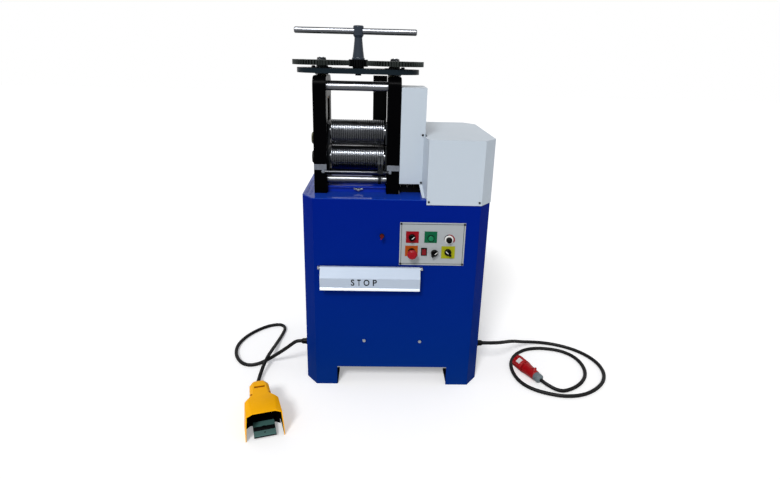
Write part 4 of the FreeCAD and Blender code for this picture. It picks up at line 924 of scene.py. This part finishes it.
@dataclass
class MillStand:
    """Housings, rolls, bearings and guides."""

    NODES: ClassVar[dict[str, Skin]] = {
        "housing_left": Skin.HOUSING, "housing_right": Skin.HOUSING, "tie_rods": Skin.BAR,
        "frame_bolts": Skin.DARK, "screw_nuts": Skin.BRONZE, "wire_guide": Skin.DARK,
        "lift_springs": Skin.SCREW, "lower_roll": Skin.ROLL, "upper_roll": Skin.ROLL,
        "lower_roll_gear": Skin.GEAR, "upper_roll_gear": Skin.GEAR, "rear_post": Skin.POST}
    oil_cups_above: float = 1300.0
    grease_cup_above: float = 1060.0
    exit_table_behind: float = 200.0
    collar_below: float = 950.0
    bush_depth: float = 70.0
    screw_length: float = 20.0
    plate_depth: float = 50.0
    rod_length: float = 100.0

    def build(self) -> None:
        """Finishes the stand's nodes, some of them solid by solid."""
        finish_nodes(self.NODES)
        split_node("lubricators", Body.FRAME, self.lubricator)
        split_node("guide_rest", Body.FRAME, self.rest)
        split_node("lower_bearings", Body.FRAME, self.bearing)
        split_node("upper_bearings", Body.CARRIAGE, self.bearing)

    def bearing(self, place: Vector, size: Vector) -> Choice:
        """Tells each bush from the block that holds it."""
        return ("bearing_bush", Skin.BRONZE) if size.y < self.bush_depth else ("bearing_block", Skin.IRON)

    def lubricator(self, place: Vector, size: Vector) -> Choice:
        """Tells oil cups, grease cup and the roll's end cap apart by height.

        Args:
            place: A solid's middle.
            size: Its size, not used.

        Returns:
            Its name and finish.
        """
        if place.z > self.oil_cups_above:
            return "oil_cup", Skin.OLIVE
        if place.z > self.grease_cup_above:
            return "grease_cup", Skin.OLIVE
        return "roll_end_cap", Skin.BLACK

    def rest(self, place: Vector, size: Vector) -> Choice:
        """Tells the parts of front rest and exit table apart by place and size.

        Args:
            place: A solid's middle.
            size: Its size.

        Returns:
            Its name and finish.
        """
        if place.y > self.exit_table_behind:
            if max(size) < self.screw_length:
                return "table_screw", Skin.DARK
            # The exit plate's near-black finish is painted shade in the gap behind the rolls.
            return ("exit_plate", Skin.TABLE) if size.y > self.plate_depth else ("exit_bar", Skin.POST)
        if place.z < self.collar_below:
            return "rod_collar", Skin.DARK
        return ("guide_rod", Skin.BAR) if size.x > self.rod_length else ("rest_pad", Skin.PAD)


@dataclass
class ScrewDown:
    """Pressure screws, their gears, the bridge and the tee handle."""

    NODES: ClassVar[dict[str, Skin]] = {
        "screw_gear_left": Skin.GEAR, "screw_gear_right": Skin.GEAR, "bridge_plate": Skin.BLACK_PLATE,
        "thrust_covers": Skin.DARK, "pinion": Skin.SHADE_BLACK, "handle_column": Skin.COLUMN,
        "tee_bar": Skin.BAR}
    nut_height: float = 30.0

    def build(self) -> None:
        """Finishes the screw-down's nodes and parts each screw from its castle nut."""
        finish_nodes(self.NODES)
        split_node("left_screw", Body.LEFT_SCREW, self.screw_part)
        split_node("right_screw", Body.RIGHT_SCREW, self.screw_part)

    def screw_part(self, place: Vector, size: Vector) -> Choice:
        """Tells the castle nut from the screw that carries it."""
        return ("castle_nut", Skin.DARK) if size.z < self.nut_height else ("pressure_screw", Skin.SCREW)


@dataclass
class Drive:
    """Gearmotor, outboard bearing and the two white covers."""

    NODES: ClassVar[dict[str, Skin]] = {
        "gearbox": Skin.MACHINE_GREY, "motor": Skin.MACHINE_GREY, "outboard_bearing": Skin.POST,
        "gear_cover": Skin.WHITE, "motor_cover": Skin.WHITE}

    def build(self) -> None:
        """Finishes the drive's nodes."""
        finish_nodes(self.NODES)


@dataclass(frozen=True)
class Pointer:
    """The white line on a selector's wing."""

    name: str
    body: Body
    centre: tuple[float, float]  # the selector's axis
    angle: float  # degrees clockwise from upright
    out: float  # from the axis to the line's middle


@dataclass
class Controls:
    """Panel with its legends, selectors, buttons and the key lock.

    Angles are in degrees clockwise from upright. The dial's wedge is a row of printed blocks,
    arc_piece long and ink thick, on the radius arc_radius. It widens by arc_growth a degree.
    """

    NODES: ClassVar[dict[str, Skin]] = {
        "control_panel": Skin.PANEL, "red_selector": Skin.BLACK, "black_selector": Skin.BLACK,
        "yellow_selector": Skin.BLACK, "green_button": Skin.GREEN, "estop_button": Skin.RED,
        "rocker": Skin.LENS, "key_lock": Skin.DARK, "lock_key": Skin.KEY_BOW}
    LEGENDS: ClassVar[dict[tuple[float, float], Choice]] = {
        (68.0, 723.0): ("red_legend", Skin.RED_LEGEND),
        (145.5, 724.0): ("green_legend", Skin.GREEN_LEGEND),
        (66.0, 661.0): ("orange_legend", Skin.ORANGE_LEGEND),
        (222.0, 657.0): ("yellow_legend", Skin.YELLOW_LEGEND),
        (223.0, 714.0): ("speed_dial", Skin.GREY_DIAL)}
    POINTERS: ClassVar[tuple[Pointer, ...]] = (
        Pointer("red_pointer", Body.RED_SELECTOR, (66.5, 722.0), angle=45.0, out=5.0),
        Pointer("black_pointer", Body.BLACK_SELECTOR, (164.0, 653.5), angle=45.0, out=7.5),
        Pointer("yellow_pointer", Body.YELLOW_SELECTOR, (221.0, 658.0), angle=-45.0, out=7.5))
    pointer_size: Point = (3.0, 0.5, 15.0)
    pointer_front: float = -26.65
    pointer_ease: float = 0.15
    green_rim: Point = (146.0, -6.0, 720.0)
    rim_reach: float = 15.0
    skirt_width: float = 30.0
    plate_front: float = -4.0
    speed_dial: tuple[float, float] = (223.0, 714.0)
    arc_start: int = -100
    arc_turns_red: int = -10
    arc_stop: int = 120
    arc_step: int = 10
    arc_radius: float = 19.4
    arc_piece: float = 3.9
    arc_width: float = 1.2
    arc_growth: float = 0.022
    ink: float = 0.5
    border_box: tuple[float, float, float, float] = (22.0, 284.0, 604.0, 780.0)
    border_width: float = 2.0
    border_depth: float = 0.3
    border_front: float = -3.05

    def build(self) -> None:
        """Finishes the panel's nodes and adds pointers, dial and border."""
        finish_nodes(self.NODES)
        split_node("legend_plates", Body.FRAME, self.legend)
        split_node("bezels", Body.FRAME, self.bezel)
        split_node("speed_knob", Body.SPEED, self.speed_part)
        for pointer in self.POINTERS:
            self.point(pointer)
        self.arc("dial_arc_grey", Skin.DIAL_GREY, self.arc_start, self.arc_turns_red)
        self.arc("dial_arc_red", Skin.RED_LEGEND, self.arc_turns_red, self.arc_stop)
        self.border()

    def legend(self, place: Vector, size: Vector) -> Choice:
        """Gives each legend plate the name and colour of the control it lies round."""
        nearest = min(self.LEGENDS, key=lambda c: (Vector((c[0], self.plate_front, c[1])) - place).length)
        return self.LEGENDS[nearest]

    def bezel(self, place: Vector, size: Vector) -> Choice:
        """Tells the green button's rim from the black bezels."""
        green = (place - Vector(self.green_rim)).length < self.rim_reach
        return ("green_rim", Skin.GREEN_RIM) if green else ("bezel", Skin.BLACK)

    def speed_part(self, place: Vector, size: Vector) -> Choice:
        """Tells the speed knob's pale skirt from its black grip."""
        skirt = size.x > self.skirt_width
        return ("speed_skirt", Skin.WHITE_MARK) if skirt else ("speed_grip", Skin.BLACK)

    def point(self, pointer: Pointer) -> None:
        """Prints the white line on a selector's wing.

        Args:
            pointer: Which one, and how it stands.
        """
        lean = math.radians(pointer.angle)
        x, z = pointer.centre
        place = at(x + pointer.out * math.sin(lean), self.pointer_front, z + pointer.out * math.cos(lean))
        line = block(pointer.name, place, self.pointer_size, Matrix.Rotation(lean, 3, "Y"))
        ease_edges(line, self.pointer_ease)
        dress(line, Skin.WHITE_MARK, pointer.body)

    def arc(self, name: str, skin: Skin, start: int, stop: int) -> None:
        """Prints a part of the wedge that widens clockwise round the speed knob.

        Args:
            name: The piece's name.
            skin: Its colour.
            start: Degrees clockwise from upright where it begins.
            stop: Degrees where it ends.
        """
        x, z = self.speed_dial
        pieces = []
        for degrees in range(start + self.arc_step // 2, stop, self.arc_step):
            angle = math.radians(degrees)
            width = self.arc_width + self.arc_growth * (degrees - self.arc_start)
            radius = self.arc_radius + width / 2
            place = at(x + radius * math.sin(angle), self.plate_front, z + radius * math.cos(angle))
            size = (self.arc_piece, self.ink, width)
            pieces.append(block(name, place, size, Matrix.Rotation(angle, 3, "Y")))
        dress(join(name, pieces), skin, Body.FRAME)

    def border(self) -> None:
        """Prints the thin dark line a little inside the panel's edge."""
        x0, x1, z0, z1 = self.border_box
        middle_x, middle_z, line = (x0 + x1) / 2, (z0 + z1) / 2, self.border_width
        sides = [(middle_x, z0, x1 - x0, line), (middle_x, z1, x1 - x0, line),
                 (x0, middle_z, line, z1 - z0), (x1, middle_z, line, z1 - z0)]
        lines = [block("panel_border", at(x, self.border_front, z), (width, self.border_depth, height))
                 for x, z, width, height in sides]
        dress(join("panel_border", lines), Skin.BORDER, Body.FRAME)


@dataclass
class KneeBar:
    """Folded bar across the front that stops the rolls.

    Its lower face passes through face_y at face_z and comes forward by face_run over face_rise.
    The letters are listed with their middles along X and their widths.
    """

    letters: tuple[tuple[str, float, float], ...] = (
        ("S", -180.7, 14.7), ("T", -154.0, 15.0), ("O", -122.0, 25.0), ("P", -86.7, 17.2))
    letter_height: float = 30.0
    letter_offset: float = 0.02
    letter_extrude: float = 0.004
    letter_flatten: float = 0.06
    letter_proud: float = 0.1
    word_z: float = 528.5
    face_y: float = -40.0
    face_z: float = 492.0
    face_run: float = 5.0
    face_rise: float = 55.0
    lip_place: Point = (-107.5, -43.4, 497.0)
    lip_size: Point = (426.0, 1.6, 11.0)
    lip_fold: float = -0.42
    lip_ease: float = 0.6

    def build(self) -> None:
        """Finishes the bar, folds its lower lip and puts the word on its lower face."""
        finish_nodes({"knee_bar": Skin.KNEE, "knee_bar_pivots": Skin.ZINC})
        # The lip is drawn paler than the bar, as painted highlight along its bottom edge.
        fold = Matrix.Rotation(self.lip_fold, 3, "X")
        lip = block("knee_bar_lip", at(*self.lip_place), self.lip_size, fold)
        ease_edges(lip, self.lip_ease)
        dress(lip, Skin.LIP, Body.STOP_BAR)
        pieces = [self.letter(*shape) for shape in self.letters]
        dress(join("stop_letters", pieces), Skin.BLACK, Body.STOP_BAR)

    def letter(self, character: str, x: float, width: float) -> Piece:
        """Lays one thin black letter on the bar's lower face.

        Args:
            character: The letter.
            x: Its middle, in millimetres from the middle of the cabinet.
            width: Its width in millimetres.

        Returns:
            The letter, settled.
        """
        bpy.ops.object.select_all(action="DESELECT")
        bpy.ops.object.text_add(location=(0, 0, 0))
        text = bpy.context.object
        text.data.body = character
        text.data.align_x = "CENTER"
        text.data.align_y = "CENTER"
        text.data.offset = self.letter_offset
        text.data.extrude = self.letter_extrude
        bpy.ops.object.convert(target="MESH")
        text = bpy.context.object
        text.name = "stop_letter_" + character
        bpy.ops.object.origin_set(type="ORIGIN_GEOMETRY", center="BOUNDS")
        text.scale = (width / MM / text.dimensions.x, self.letter_height / MM / text.dimensions.y,
                      self.letter_flatten)
        lean = math.atan2(self.face_run, self.face_rise)
        face = self.face_y - self.face_run * (self.word_z - self.face_z) / self.face_rise
        text.rotation_euler = (math.pi / 2 + lean, 0.0, 0.0)
        text.location = at(x, face - self.letter_proud, self.word_z)
        settle(text)
        return text


@dataclass
class FootSwitch:
    """Yellow hood over a sprung pedal. Its own X runs to the right and its Y away from the foot.

    The hood lies round a core line that runs back to core_end at core_height. Faces that look
    towards it, by inside_cosine at least, are the hood's inside.
    """

    place: tuple[float, float] = (-507.0, -379.0)
    yaw: float = 17.5
    core_end: float = 200.0
    core_height: float = 50.0
    inside_cosine: float = -0.25
    hood_ease: float = 1.6
    hood_ease_angle: float = 28.0
    window_place: Point = (0.0, 188.0, 112.6)
    window_size: Point = (45.0, 18.0, 2.2)
    hood_screws: Sequence[Point] = ((-35.5, 141.0, 113.5), (35.5, 141.0, 113.5))
    screw_radius: float = 5.5
    screw_height: float = 3.0
    # dark strips under the hood's inner edges, as painted shade where the floor would show
    shade_strips: Sequence[Point] = ((-37.9, 180.0, 3.5), (37.9, 180.0, 3.5))
    shade_strip_size: Point = (4.4, 88.0, 5.0)
    shade_strip_ease: float = 0.4
    plate_length: float = 110.0
    pedal_slope: float = 0.14
    pedal_front: float = 12.1
    strip_y: float = 40.3
    strip_rise: float = 2.1
    strip_size: Point = (83.0, 21.5, 3.4)
    strip_ease: float = 0.3
    ribs: Sequence[float] = (33.0, 38.0, 43.0, 48.0)
    rib_rise: float = 4.3
    rib_size: Point = (80.0, 1.8, 1.4)
    bosses: Sequence[tuple[float, float, float, float]] = (  # place, rise, radius and height
        (42.0, 4.6, 9.0, 3.0), (18.0, 3.2, 2.8, 1.2))

    @property
    def turn(self) -> Matrix:
        """The rotation from the switch's own directions to the mill's."""
        return Matrix.Rotation(math.radians(self.yaw), 3, "Z")

    def build(self) -> None:
        """Finishes the foot switch."""
        finish_nodes({"foot_frame": Skin.POST})
        self.hood()
        split_node("foot_pedal", Body.PEDAL, self.pedal_part)
        self.band()

    def spot(self, x: float, y: float, z: float) -> Vector:
        """Turns a place on the switch into metres in the shared frame.

        Args:
            x: Millimetres to the right of its middle.
            y: Millimetres from its front towards its cord.
            z: Millimetres above the floor.

        Returns:
            The point in metres.
        """
        here = self.turn @ Vector((x, y, z))
        return at(here.x + self.place[0], here.y + self.place[1], here.z)

    def on_pedal(self, y: float, rise: float) -> Vector:
        """Gives a point over the middle line of the pedal, so far back and so far above its plate."""
        return self.spot(0, y, self.pedal_front + self.pedal_slope * y + rise)

    def pedal_part(self, place: Vector, size: Vector) -> Choice:
        """Tells the pedal's plate from its two rubber pads."""
        plate = size.y > self.plate_length
        return ("pedal_plate", Skin.DARK) if plate else ("pedal_pad", Skin.PEDAL_RUBBER)

    def hood(self) -> None:
        """Paints the hood's inside and the fills of its window and screw holes dark, and lays dark strips
        under it, all as painted shade.
        """
        hood = split_node("foot_hood", Body.FRAME,
                          lambda place, size: ("hood", Skin.HOOD))[0]
        # The hood's inner faces take the black post finish, as painted shade inside the hood.
        hood.data.materials.append(Skin.POST.value.make())
        back = self.turn.transposed()
        for face in hood.data.polygons:
            here = back @ (face.center * MM - SHIFT - Vector((*self.place, 0.0)))
            outward = Vector((here.x, max(0.0, here.y - self.core_end), here.z - self.core_height))
            if (back @ face.normal).dot(outward.normalized()) < self.inside_cosine:
                face.material_index = 1
        ease_edges(hood, self.hood_ease, self.hood_ease_angle)
        # Window and screw-hole fills in darker hood enamel, as painted shade in those recesses.
        pieces = [block("hood_window", self.spot(*self.window_place), self.window_size, self.turn)]
        pieces += [disc("hood_screw", self.spot(*place), self.screw_radius, self.screw_height, UP)
                   for place in self.hood_screws]
        for piece in pieces:
            dress(piece, Skin.RECESS, Body.FRAME)
        # Dark strips over the floor under the hood's inner edges, as painted shade.
        for place in self.shade_strips:
            shade_strip = block("hood_shade_strip", self.spot(*place), self.shade_strip_size, self.turn)
            ease_edges(shade_strip, self.shade_strip_ease)
            dress(shade_strip, Skin.CORD, Body.FRAME)

    def band(self) -> None:
        """Lays the ribbed black strip with its bosses between the two pads."""
        lean = self.turn @ Matrix.Rotation(math.atan(self.pedal_slope), 3, "X")
        plates = [(self.strip_y, self.strip_rise, self.strip_size)]
        plates += [(y, self.rib_rise, self.rib_size) for y in self.ribs]
        pieces = [block("pedal_strip", self.on_pedal(y, rise), size, lean) for y, rise, size in plates]
        pieces += [disc("pedal_strip", self.on_pedal(y, rise), radius, height, lean @ UP)
                   for y, rise, radius, height in self.bosses]
        strip = join("pedal_strip", pieces)
        ease_edges(strip, self.strip_ease)
        dress(strip, Skin.POST, Body.PEDAL)


def main() -> None:
    """Builds the studio and the mill, sub-assembly by sub-assembly."""
    logging.basicConfig(level=logging.INFO, format="%(name)s: %(message)s")
    for group in (Studio(), Cords(), Cabinet(), MillStand(), ScrewDown(), Drive(), Controls(), KneeBar(),
                  FootSwitch()):
        LOG.info("building %s", type(group).__name__)
        group.build()


if __name__ == "__main__":
    main()
